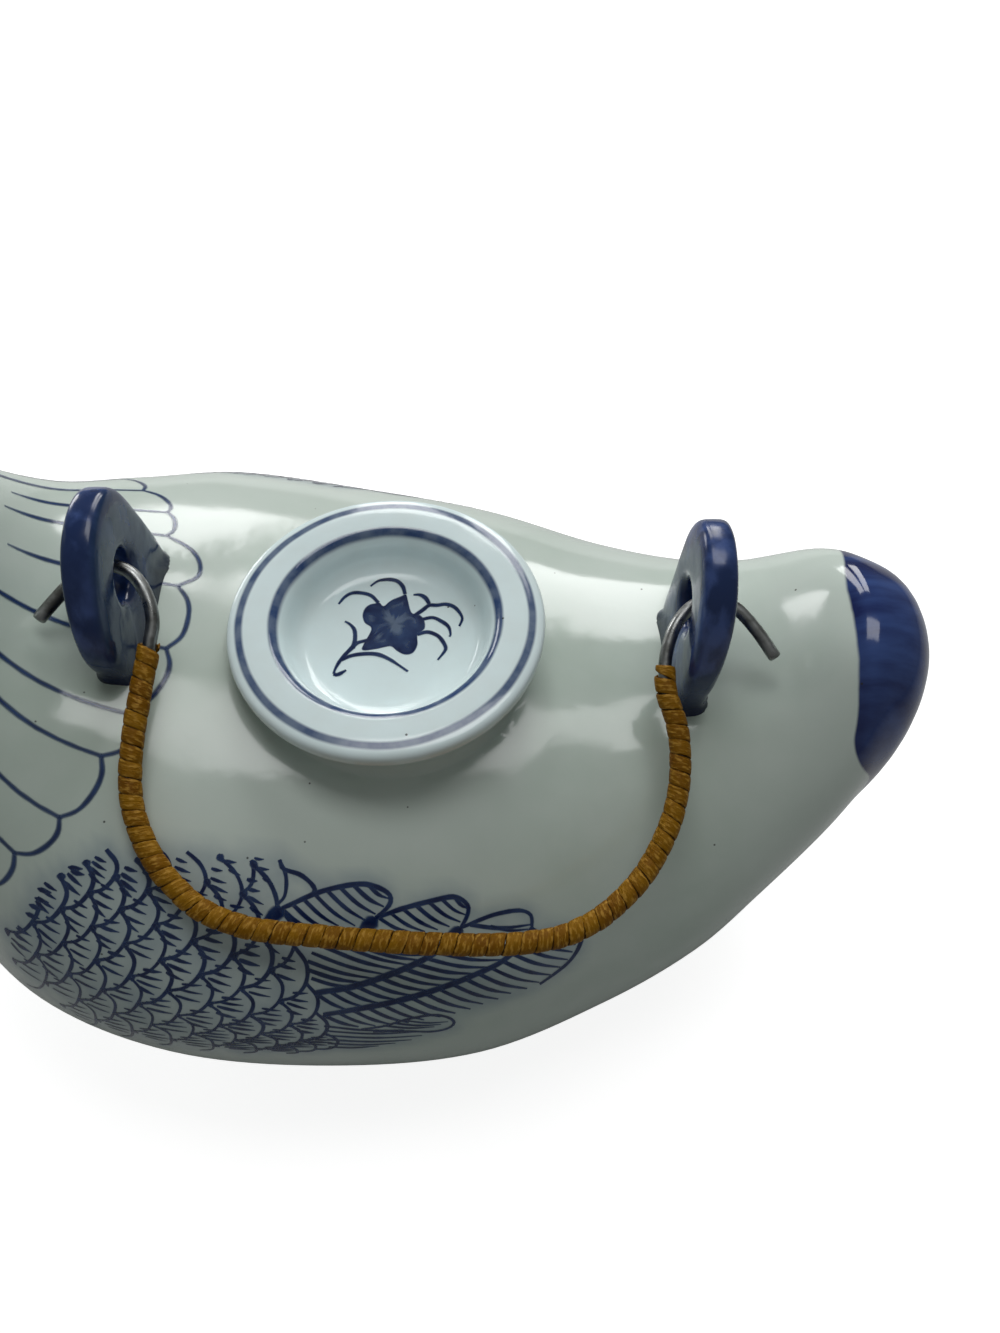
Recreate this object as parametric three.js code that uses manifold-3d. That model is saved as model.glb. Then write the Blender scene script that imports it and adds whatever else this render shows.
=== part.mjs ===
import * as THREE from 'three';
import { mergeVertices } from 'three/addons/utils/BufferGeometryUtils.js';
import Module from 'manifold-3d';

// A bird-shaped lidded porcelain pot with a folding wire bail wound with cane.
// Millimetres. X runs from the head (-X) to the tail (+X), Y to the bird's right, Z up.
// The origin is on the ground under the middle of the lid.

// Driving dimensions of the pot. The reaches run from the middle of the lid to the last tail rib
// and to the tip of the beak, and the crown is the top of the head under the comb.
const RUMP_REACH = 104;
const BEAK_REACH = 135;
const CROWN_HEIGHT = 173.5;
const HALF_WIDTH = 74;
const WALL = 4;
const SEAT_GAP = 0.3;
const FOOT_HALF_LENGTH = 50;
const FOOT_HALF_WIDTH = 38;
const FOOT_HEIGHT = 25;
const FOOT_EDGE = 0.8;
const BACK_SQUARENESS = 2.13;
const BELLY_SQUARENESS = 2.25;
const TAIL_CAP = 12;
const TAIL_CAP_RISE = 1.2;
const TAIL_CAP_TAPER = 1.5;
const BEAK_BORE = 6.8;

// Driving dimensions of the mouth and the lid.
const LID_TOP = 100;
const LID_RADIUS = 32.3;
const FLANGE = 4;
const LID_EDGE = 1.1;
const MOUTH_RADIUS = 25;
const MOUTH_DEPTH = 25;
const COLLAR_WALL = 2.5;
const COLLAR_DEPTH = 30;
const LID_PLAY = 0.8;
const PLUG_CHAMFER = 2;
const WELL_RADIUS = 22.9;
const WELL_FLOOR_RADIUS = 17;
const WELL_DEPTH = 9;
const WELL_FLOOR = 3.5;
const WELL_DISH = 0.3;
const WELL_LIP_ROUND = 0.7;
const WELL_BOWL_ROUND = 1.4;

// Driving dimensions of the lugs: hole centres on the middle plane, as [x, z]. Each arch runs from
// the foot on the bird's right over the top to the foot on its left, as [across, up] from its hole.
const FRONT_HOLE = [-51.4, 113.28];
const REAR_HOLE = [62.8, 103.71];
const HOLE_RADIUS = 5;
const LUG_THICKNESS = 6.8;
const LUG_EDGE = 2;
const LUG_ROOT_DEPTH = 30;
const REAR_LEAN = 2.4;
const FRONT_ARCH = [
  [18.6, -14], [15.3, 0], [11.6, 11.2], [7.4, 15.4], [1.5, 16.6], [-4.6, 15.4], [-9.6, 12], [-13.8, 6.4],
  [-16.4, 0.5], [-17.2, -5], [-16, -10.5], [-14, -14.5],
];
const REAR_ARCH = [
  [13.6, -18], [12.6, -6], [12.1, 4], [11.2, 11], [8, 16.4], [2, 18.7], [-5, 17.4], [-10.6, 13],
  [-13.6, 6.8], [-14.8, 0], [-14.7, -8], [-13.7, -14], [-13, -18],
];

// Driving dimensions of the bail and its winding. The outlines lie in the bail's plane, as
// [along, out]: along the hinge axis from the nearer hole, and out from the axis to the grip.
// The grip's is [along, short of the reach], drawn for holes that are GRIP_SPAN apart. At rest the
// grip lies BAIL_REST_DROP below the axis, and out from it by a share of the pot's half width.
const WIRE_RADIUS = 1.3;
const BAIL_REST_SHARE = 0.8144;
const BAIL_REST_DROP = 28.36;
const GRIP_SPAN = 114.6;
const STRIP_WIDTH = 2.2;
const STRIP_THICKNESS = 0.75;
const STRIP_SHOULDER = 0.45;
const STRIP_PITCH = 3.05;
const STRIP_CLEARANCE = 0.35;
const WRAP_START = 13;
const FRONT_OUTLINE = [
  [-12.4, 9.4], [-9.8, 5.6], [-7.1, 2.1], [-3.8, -0.8], [0, -1.9], [4, -0.5],
  [7.2, 3.6], [8.7, 8.4], [8.5, WRAP_START], [7.6, 22], [6.9, 31.5], [7.3, 41],
];
const REAR_OUTLINE = [
  [-4.9, 41], [-3.7, 32.5], [-4.4, 24.5], [-6.5, 17.8], [-7, WRAP_START], [-6.4, 8.6], [-4.7, 4],
  [-1.4, 0.2], [2.8, -1.2], [7, 0.2], [11.1, 4.2], [15.3, 10],
];
const GRIP_OUTLINE = [
  [10.4, 17.1], [15.4, 10.1], [22.1, 4.7], [30.4, 1.9], [41.4, 0.8], [58.4, 0], [76.4, 0], [84.4, 0.9],
  [91.4, 2.9], [99.4, 8.4], [105.3, 15.6],
];

// Driving dimensions of the head's trimmings.
const COMB_THICKNESS = 5;
const COMB_HEIGHT = 8;
const COMB_SHOULDER = 2;
const COMB_ROOT = 4;
const COMB_LOBES = 3;
const WATTLE_HALF_SIZES = [4.4, 3.4, 5.5];
const WATTLE_SPLAY = 20;
const WATTLE_SPREAD = 6.6;
const WATTLE_DROP = 1.3;

// Ribs of the bird from the tail to the beak. Each one spans the body from its back line to its
// belly line, both [along, up], with the half width there and the height of its widest place as a
// share of the rib. Along is a share of the reach on that side, up is 1 at the top of the lid and
// 2 at the crown, and the half width is a share of HALF_WIDTH.
const RIB_SHARES = [
  { back: [0.999, 1.05], belly: [0.945, 0.6], half: 0.331, waist: 0.28 },
  { back: [0.907, 1.068], belly: [0.88, 0.455], half: 0.427, waist: 0.35 },
  { back: [0.788, 0.935], belly: [0.769, 0.3], half: 0.541, waist: 0.36 },
  { back: [0.654, 0.86], belly: [0.644, 0.16], half: 0.662, waist: 0.37 },
  { back: [0.462, 0.84], belly: [0.442, 0.05], half: 0.797, waist: 0.39 },
  { back: [0.192, 0.865], belly: [0.173, 0.02], half: 0.946, waist: 0.42 },
  { back: [-0.089, 0.895], belly: [-0.104, 0.02], half: 1, waist: 0.48 },
  { back: [-0.311, 0.965], belly: [-0.356, 0.055], half: 0.982, waist: 0.51 },
  { back: [-0.444, 1.048], belly: [-0.593, 0.195], half: 0.858, waist: 0.45 },
  { back: [-0.526, 1.177], belly: [-0.748, 0.38], half: 0.646, waist: 0.48 },
  { back: [-0.585, 1.422], belly: [-0.815, 0.72], half: 0.419, waist: 0.48 },
  { back: [-0.63, 1.653], belly: [-0.822, 1.082], half: 0.277, waist: 0.5 },
  { back: [-0.674, 1.857], belly: [-0.815, 1.435], half: 0.216, waist: 0.52 },
  { back: [-0.756, 2], belly: [-0.844, 1.571], half: 0.209, waist: 0.55 },
  { back: [-0.844, 1.98], belly: [-0.881, 1.612], half: 0.162, waist: 0.55 },
  { back: [-0.911, 1.857], belly: [-0.919, 1.667], half: 0.097, waist: 0.52 },
  { back: [-1, 1.8], belly: [-0.989, 1.664], half: 0.073, waist: 0.5 },
];

// Fineness of the solids.
const SIDES = 36;
const INNER_SIDES = 24;
const RIB_STEPS = 2;
const CAP_STEPS = 4;
const ROUND_SEGMENTS = 44;
const WIRE_STEPS = 120;
const WIRE_SIDES = 8;
const TURN_STEPS = 8;
const ARCH_STEPS = 30;
const HOLE_STEPS = 14;
const WELL_STEPS = 5;
const LENGTH_STEPS = 2000;
const LOBE_STEPS = 6;
const DROP_STEPS = 12;

const porcelain = { color: 0xc6cfc8, roughness: 0.18, metalness: 0 };
const cobalt = { color: 0x25356f, roughness: 0.2, metalness: 0 };
const steel = { color: 0x8b8d8c, roughness: 0.4, metalness: 1 };
const cane = { color: 0xa9702a, roughness: 0.55, metalness: 0 };

const wasm = await Module();
wasm.setup();

// Solids and geometries.

function toSolid(geometry) {
  const bare = geometry.index ? geometry.toNonIndexed() : geometry.clone();
  bare.deleteAttribute('normal');
  bare.deleteAttribute('uv');
  const merged = mergeVertices(bare, 1e-4);
  return new wasm.Manifold(new wasm.Mesh({
    numProp: 3,
    vertProperties: new Float32Array(merged.attributes.position.array),
    triVerts: new Uint32Array(merged.index.array),
  }));
}

function toGeometry(solid) {
  const mesh = solid.getMesh();
  const geometry = new THREE.BufferGeometry();
  geometry.setAttribute('position', new THREE.BufferAttribute(new Float32Array(mesh.vertProperties), 3));
  geometry.setIndex(new THREE.BufferAttribute(new Uint32Array(mesh.triVerts), 1));
  return geometry;
}

// A closed skin over a row of rings that all have the same number of points.
function loftRings(rings) {
  const count = rings[0].length;
  const points = rings.flat();
  const faces = [];
  for (let i = 0; i + 1 < rings.length; i += 1) {
    for (let j = 0; j < count; j += 1) {
      const a = i * count + j;
      const b = i * count + ((j + 1) % count);
      faces.push(a, b, a + count, b, b + count, a + count);
    }
  }
  const last = (rings.length - 1) * count;
  for (let j = 1; j + 1 < count; j += 1) {
    faces.push(0, j + 1, j, last, last + j, last + j + 1);
  }
  let volume = 0;
  for (let k = 0; k < faces.length; k += 3) {
    const [a, b, c] = [points[faces[k]], points[faces[k + 1]], points[faces[k + 2]]];
    volume += new THREE.Vector3().crossVectors(b, c).dot(a);
  }
  if (volume < 0) {
    faces.reverse();
  }
  const geometry = new THREE.BufferGeometry().setFromPoints(points);
  geometry.setIndex(faces);
  return geometry;
}

// A turned solid about a vertical axis through (0, 0), from a profile of [radius, z].
function turned(profile, segments = ROUND_SEGMENTS) {
  const outline = profile.map(([radius, z]) => new THREE.Vector2(radius, z));
  return new THREE.LatheGeometry(outline, segments).rotateX(Math.PI / 2);
}

// The bird's body.

// A point of the middle plane, in millimetres, from its shares of the bird's reaches and heights.
function placed([along, up]) {
  const x = along * (along > 0 ? RUMP_REACH : BEAK_REACH);
  const z = up > 1 ? LID_TOP + (up - 1) * (CROWN_HEIGHT - LID_TOP) : up * LID_TOP;
  return [x, z];
}

const RIBS = RIB_SHARES.map(({ back, belly, half, waist }) => ({
  back: placed(back), belly: placed(belly), half: half * HALF_WIDTH, waist,
}));

// All ribs of the bird between the driving ones, on smooth lines through their ends.
function smoothRibs() {
  const line = (pick) => new THREE.CatmullRomCurve3(RIBS.map(pick), false, 'catmullrom', 0.5);
  const backs = line((rib) => new THREE.Vector3(rib.back[0], 0, rib.back[1]));
  const bellies = line((rib) => new THREE.Vector3(rib.belly[0], 0, rib.belly[1]));
  const sizes = line((rib) => new THREE.Vector3(rib.half, rib.waist, 0));
  const steps = (RIBS.length - 1) * RIB_STEPS;
  return Array.from({ length: steps + 1 }, (_, i) => {
    const share = i / steps;
    const size = sizes.getPoint(share);
    return { back: backs.getPoint(share), belly: bellies.getPoint(share), half: size.x, waist: size.y };
  });
}

// The rib drawn in by a wall thickness, but never narrower than the bore of the beak.
function insetRib(rib, wall) {
  const span = new THREE.Vector3().subVectors(rib.back, rib.belly);
  const inset = Math.min(wall, span.length() / 2 - BEAK_BORE / 2);
  span.setLength(inset);
  return {
    back: rib.back.clone().sub(span),
    belly: rib.belly.clone().add(span),
    half: wall > 0 ? Math.max(rib.half - wall, BEAK_BORE / 2) : rib.half - wall,
    waist: rib.waist,
  };
}

// The closed outline of one rib: half an oval above its widest place and half an oval below.
function ribRing(rib, sides) {
  return Array.from({ length: sides }, (_, j) => {
    const angle = (2 * Math.PI * j) / sides;
    const power = 2 / (Math.cos(angle) > 0 ? BACK_SQUARENESS : BELLY_SQUARENESS);
    const rise = Math.sign(Math.cos(angle)) * Math.abs(Math.cos(angle)) ** power;
    const side = Math.sign(Math.sin(angle)) * Math.abs(Math.sin(angle)) ** power;
    const share = rib.waist + rise * (rise > 0 ? 1 - rib.waist : rib.waist);
    const point = new THREE.Vector3().lerpVectors(rib.belly, rib.back, share);
    point.y = rib.half * side;
    return point;
  });
}

// Ribs that round off the tail beyond the first one.
function tailCapRibs(rib, length) {
  const middle = rib.back.clone().add(rib.belly).multiplyScalar(0.5);
  return Array.from({ length: CAP_STEPS }, (_, i) => {
    const angle = (Math.PI / 2) * (1 - (i + 0.25) / CAP_STEPS);
    const shift = new THREE.Vector3(length, 0, TAIL_CAP_RISE).multiplyScalar(Math.sin(angle));
    const size = Math.cos(angle) ** TAIL_CAP_TAPER;
    const shrink = (end) => end.clone().sub(middle).multiplyScalar(size).add(middle).add(shift);
    return { back: shrink(rib.back), belly: shrink(rib.belly), half: rib.half * size, waist: rib.waist };
  });
}

// The bird's form, drawn in by a wall thickness or swollen where that is negative.
function birdForm(wall, sides, beakOverrun = 0) {
  const ribs = smoothRibs().map((rib) => insetRib(rib, wall));
  const rings = [...tailCapRibs(ribs[0], TAIL_CAP - wall), ...ribs].map((rib) => ribRing(rib, sides));
  if (beakOverrun > 0) {
    const tip = rings[rings.length - 1];
    rings.push(tip.map((point) => point.clone().add(new THREE.Vector3(-beakOverrun, 0, -beakOverrun / 2))));
  }
  return toSolid(loftRings(rings));
}

// The flat foot: an oval pad under the belly, with a small chamfer.
function footPad() {
  const edge = 1 - FOOT_EDGE / FOOT_HALF_WIDTH;
  const pad = turned([[0, 0], [edge, 0], [1, FOOT_EDGE], [1, FOOT_HEIGHT], [0, FOOT_HEIGHT]]);
  return toSolid(pad.scale(FOOT_HALF_LENGTH, FOOT_HALF_WIDTH, 1));
}

// The mouth's collar, with stock inside that the bore takes away.
function mouthCollar() {
  const top = LID_TOP - FLANGE - SEAT_GAP;
  const outer = MOUTH_RADIUS + COLLAR_WALL;
  const inner = MOUTH_RADIUS - COLLAR_WALL;
  const root = LID_TOP - COLLAR_DEPTH;
  return toSolid(turned([[inner, root], [outer, root], [outer, top], [inner, top], [inner, root]]));
}

function mouthBore() {
  const bore = new THREE.CylinderGeometry(MOUTH_RADIUS, MOUTH_RADIUS, 2 * MOUTH_DEPTH, ROUND_SEGMENTS);
  return toSolid(bore.rotateX(Math.PI / 2).translate(0, 0, LID_TOP));
}

function bodySolid() {
  const hollow = birdForm(WALL, INNER_SIDES, WALL);
  return birdForm(0, SIDES).add(footPad()).add(mouthCollar()).subtract(hollow).subtract(mouthBore());
}

// The lid: a flat flange round a sunken well, whose wall plugs the mouth.
function lidGeometry() {
  const under = LID_TOP - FLANGE;
  const plug = MOUTH_RADIUS - LID_PLAY;
  const floor = LID_TOP - WELL_DEPTH;
  const base = floor - WELL_FLOOR;
  const well = Array.from({ length: WELL_STEPS }, (_, i) => {
    const angle = (Math.PI / 2) * (i / (WELL_STEPS - 1));
    const flare = (WELL_RADIUS - WELL_FLOOR_RADIUS) * Math.cos(angle) ** WELL_LIP_ROUND;
    return [WELL_FLOOR_RADIUS + flare, LID_TOP - WELL_DEPTH * Math.sin(angle) ** WELL_BOWL_ROUND];
  });
  return turned([
    [0, base], [plug - PLUG_CHAMFER, base], [plug, base + PLUG_CHAMFER], [plug, under],
    [LID_RADIUS - LID_EDGE, under], [LID_RADIUS, under + LID_EDGE],
    [LID_RADIUS, LID_TOP - LID_EDGE], [LID_RADIUS - LID_EDGE, LID_TOP],
    ...well, [0, floor - WELL_DISH],
  ]);
}

// A pierced lug: an arch round the hole on two legs that run down into the back, cut to seat on it.
function lugGeometry([x, z], arch, lean, body) {
  const root = LID_TOP - LUG_ROOT_DEPTH - z;
  const line = new THREE.SplineCurve(arch.map(([across, up]) => new THREE.Vector2(across, up)));
  const points = line.getPoints(ARCH_STEPS);
  const rightFoot = new THREE.Vector2(points[0].x, root);
  const leftFoot = new THREE.Vector2(points[ARCH_STEPS].x, root);
  const outline = new THREE.Shape([rightFoot, ...points, leftFoot]);
  const hole = new THREE.Path();
  hole.absarc(0, 0, HOLE_RADIUS, 0, 2 * Math.PI, true);
  outline.holes.push(hole);
  const slab = new THREE.ExtrudeGeometry(outline, {
    depth: LUG_THICKNESS - 2 * LUG_EDGE,
    bevelThickness: LUG_EDGE,
    bevelSize: LUG_EDGE,
    bevelOffset: -LUG_EDGE,
    bevelSegments: 2,
    curveSegments: HOLE_STEPS,
  });
  slab.translate(0, 0, LUG_EDGE - LUG_THICKNESS / 2).rotateX(Math.PI / 2).rotateZ(Math.PI / 2);
  slab.rotateY(THREE.MathUtils.degToRad(lean)).translate(x, 0, z);
  return toGeometry(toSolid(slab).subtract(body));
}

// The head's comb and wattles, cut to seat on the head.
function combGeometry(body) {
  const crownRibs = RIBS.slice(12, 15);
  const crown = new THREE.CatmullRomCurve3(crownRibs.map((rib) => new THREE.Vector3(...rib.back, 0)));
  const points = Array.from({ length: COMB_LOBES + 1 }, (_, i) => crown.getPoint(i / COMB_LOBES));
  const rise = COMB_HEIGHT * 4 / 3;
  const outline = new THREE.Shape();
  outline.moveTo(points[0].x, points[0].y - COMB_ROOT);
  outline.lineTo(points[0].x, points[0].y + COMB_SHOULDER);
  for (let i = 0; i < COMB_LOBES; i += 1) {
    const [from, to] = [points[i], points[i + 1]];
    outline.bezierCurveTo(from.x, from.y + rise, to.x, to.y + rise, to.x, to.y + COMB_SHOULDER);
  }
  outline.lineTo(points[COMB_LOBES].x, points[COMB_LOBES].y - COMB_ROOT);
  const slab = new THREE.ExtrudeGeometry(outline, {
    depth: COMB_THICKNESS,
    bevelEnabled: false,
    curveSegments: LOBE_STEPS,
  });
  slab.translate(0, 0, -COMB_THICKNESS / 2).rotateX(Math.PI / 2);
  return toGeometry(toSolid(slab).subtract(body));
}

function wattleGeometry(side, body) {
  const chin = RIBS[14];
  const drop = new THREE.SphereGeometry(1, DROP_STEPS, DROP_STEPS).scale(...WATTLE_HALF_SIZES);
  drop.rotateX(-side * THREE.MathUtils.degToRad(WATTLE_SPLAY));
  drop.translate(chin.belly[0], side * WATTLE_SPREAD, chin.belly[1] - WATTLE_DROP);
  return toGeometry(toSolid(drop).subtract(body));
}

// The bail, in a plane through the middles of both lug holes.

const hingeStart = new THREE.Vector3(FRONT_HOLE[0], 0, FRONT_HOLE[1]);
const hingeEnd = new THREE.Vector3(REAR_HOLE[0], 0, REAR_HOLE[1]);
const hingeAlong = new THREE.Vector3().subVectors(hingeEnd, hingeStart).normalize();
const restOut = BAIL_REST_SHARE * HALF_WIDTH;
const bailReach = Math.hypot(restOut, BAIL_REST_DROP);
const restAngle = Math.atan2(BAIL_REST_DROP, restOut);
const gripOut = new THREE.Vector3(0, -1, 0).applyAxisAngle(hingeAlong, restAngle);
const bailNormal = new THREE.Vector3().crossVectors(hingeAlong, gripOut).normalize();

function bailPoint(along, out) {
  return hingeStart.clone().addScaledVector(hingeAlong, along).addScaledVector(gripOut, out);
}

function bailCurve() {
  const span = hingeStart.distanceTo(hingeEnd);
  return new THREE.CatmullRomCurve3([
    ...FRONT_OUTLINE.map(([along, out]) => bailPoint(along, out)),
    ...GRIP_OUTLINE.map(([along, short]) => bailPoint(along * span / GRIP_SPAN, bailReach - short)),
    ...REAR_OUTLINE.map(([along, out]) => bailPoint(span + along, out)),
  ], false, 'centripetal');
}

function wireGeometry(curve) {
  const section = new THREE.Shape();
  section.absarc(0, 0, WIRE_RADIUS, 0, 2 * Math.PI, false);
  return new THREE.ExtrudeGeometry(section, {
    steps: WIRE_STEPS,
    extrudePath: curve,
    curveSegments: WIRE_SIDES / 2,
  });
}

// One cane strip wound round the grip from one shoulder to the other.
function wrapGeometry(curve) {
  const length = curve.getLength();
  const from = lengthAtOutline(curve, FRONT_OUTLINE.findIndex(([, out]) => out === WRAP_START));
  const to = lengthAtOutline(curve, curve.points.length - REAR_OUTLINE.length
    + REAR_OUTLINE.findIndex(([, out]) => out === WRAP_START));
  const turns = Math.floor((to - from) / STRIP_PITCH);
  const inner = WIRE_RADIUS + STRIP_CLEARANCE;
  const half = STRIP_WIDTH / 2;
  const section = [
    [-half, 0], [half, 0], [half, STRIP_SHOULDER], [0, STRIP_THICKNESS], [-half, STRIP_SHOULDER],
  ];
  const rings = Array.from({ length: turns * TURN_STEPS + 1 }, (_, k) => {
    const angle = (2 * Math.PI * k) / TURN_STEPS;
    return section.map(([across, rise]) => {
      const at = (from + (STRIP_PITCH * k) / TURN_STEPS + across) / length;
      const inward = new THREE.Vector3().crossVectors(curve.getTangentAt(at), bailNormal);
      return curve.getPointAt(at)
        .addScaledVector(inward, (inner + rise) * Math.cos(angle))
        .addScaledVector(bailNormal, (inner + rise) * Math.sin(angle));
    });
  });
  const gap = leastSelfGap(rings);
  console.log(`cane_wrap: ${turns} turns, least gap to itself ${gap.toFixed(2)} mm`);
  return loftRings(rings);
}

function lengthAtOutline(curve, index) {
  const share = index / (curve.points.length - 1);
  const lengths = curve.getLengths(LENGTH_STEPS);
  return lengths[Math.round(share * LENGTH_STEPS)];
}

// The least distance between points of the strip that are more than half a turn apart.
function leastSelfGap(rings) {
  let least = Infinity;
  for (let i = 0; i < rings.length; i += 1) {
    for (let j = i + TURN_STEPS / 2 + 1; j < Math.min(rings.length, i + 2 * TURN_STEPS); j += 1) {
      for (const a of rings[i]) {
        for (const b of rings[j]) {
          least = Math.min(least, a.distanceTo(b));
        }
      }
    }
  }
  return least;
}

// The assembly.

function piece(name, geometry, finish) {
  const mesh = new THREE.Mesh(geometry, new THREE.MeshStandardMaterial(finish));
  mesh.name = name;
  return mesh;
}

const clearOfBody = birdForm(-SEAT_GAP, SIDES);
const curve = bailCurve();

const pot = new THREE.Group();
pot.add(
  piece('body', toGeometry(bodySolid()), porcelain),
  piece('front_lug', lugGeometry(FRONT_HOLE, FRONT_ARCH, 0, clearOfBody), cobalt),
  piece('rear_lug', lugGeometry(REAR_HOLE, REAR_ARCH, REAR_LEAN, clearOfBody), cobalt),
  piece('comb', combGeometry(clearOfBody), cobalt),
  piece('left_wattle', wattleGeometry(-1, clearOfBody), cobalt),
  piece('right_wattle', wattleGeometry(1, clearOfBody), cobalt),
);

const lid = new THREE.Group();
lid.add(piece('lid', lidGeometry(), porcelain));

const bail = new THREE.Group();
bail.add(piece('bail_wire', wireGeometry(curve), steel), piece('cane_wrap', wrapGeometry(curve), cane));

const chickenPot = new THREE.Group();
chickenPot.add(pot, lid, bail);

export default chickenPot;
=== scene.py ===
"""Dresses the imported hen-shaped pot: glazed bird, painted feathers, lugs, sunken lid and cane-wound bail.

Every size is in millimetres in the part's own frame: X from the head (-X) to the tail (+X), Y to the bird's
right, Z up, with the origin on the ground under the lid. Meshes are written in metres.
"""

from __future__ import annotations

import functools
import logging
import math
import random
from dataclasses import dataclass, field
from enum import Enum
from typing import Any, Callable, Sequence

import bmesh
import bpy
import numpy as np
from mathutils import Matrix, Vector, noise
from mathutils.kdtree import KDTree


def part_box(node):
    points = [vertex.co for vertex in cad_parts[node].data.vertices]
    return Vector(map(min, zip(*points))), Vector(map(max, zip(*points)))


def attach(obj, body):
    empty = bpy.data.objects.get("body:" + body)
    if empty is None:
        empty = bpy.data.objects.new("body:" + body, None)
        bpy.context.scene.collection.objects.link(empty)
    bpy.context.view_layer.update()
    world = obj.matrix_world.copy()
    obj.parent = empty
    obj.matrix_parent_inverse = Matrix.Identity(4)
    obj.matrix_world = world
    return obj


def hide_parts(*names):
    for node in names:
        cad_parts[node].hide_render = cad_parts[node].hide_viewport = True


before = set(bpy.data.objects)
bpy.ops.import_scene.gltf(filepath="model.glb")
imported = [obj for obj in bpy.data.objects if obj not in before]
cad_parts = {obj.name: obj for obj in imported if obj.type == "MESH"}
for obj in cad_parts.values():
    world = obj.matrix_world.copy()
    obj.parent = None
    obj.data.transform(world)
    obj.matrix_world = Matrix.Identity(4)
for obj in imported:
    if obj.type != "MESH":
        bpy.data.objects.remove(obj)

MM = 0.001
LOG = logging.getLogger("hen_pot")
Point2 = tuple[float, float]
Point3 = tuple[float, float, float]
Colour = tuple[float, float, float]


# Node trees.


class Graph:
    """Adds nodes to one node tree and links them."""

    def __init__(self, tree: bpy.types.NodeTree) -> None:
        """Keeps the tree that nodes are added to."""
        self.tree = tree

    def feed(self, socket: bpy.types.NodeSocket, value: Any) -> None:
        """Links a socket or a node's first output to an input, or sets the input's own value.

        Args:
            socket: The input that is fed.
            value: An output socket, a node, or a plain value.
        """
        if isinstance(value, bpy.types.Node):
            value = value.outputs[0]
        if isinstance(value, bpy.types.NodeSocket):
            self.tree.links.new(value, socket)
        else:
            socket.default_value = value

    def add(self, kind: str, inputs: dict[str | int, Any] | None = None, **settings: Any) -> bpy.types.Node:
        """Adds a node.

        Args:
            kind: The node's type name.
            inputs: Values or sockets by input name or number.
            **settings: The node's own properties.

        Returns:
            The new node.
        """
        node = self.tree.nodes.new(kind)
        for key, value in settings.items():
            setattr(node, key, value)
        for key, value in (inputs or {}).items():
            self.feed(node.inputs[key], value)
        return node

    def math(self, operation: str, *values: Any, clamp: bool = False) -> bpy.types.NodeSocket:
        """Gives the result of one arithmetic step on the values."""
        node = self.add("ShaderNodeMath", dict(enumerate(values)), operation=operation, use_clamp=clamp)
        return node.outputs[0]


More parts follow.
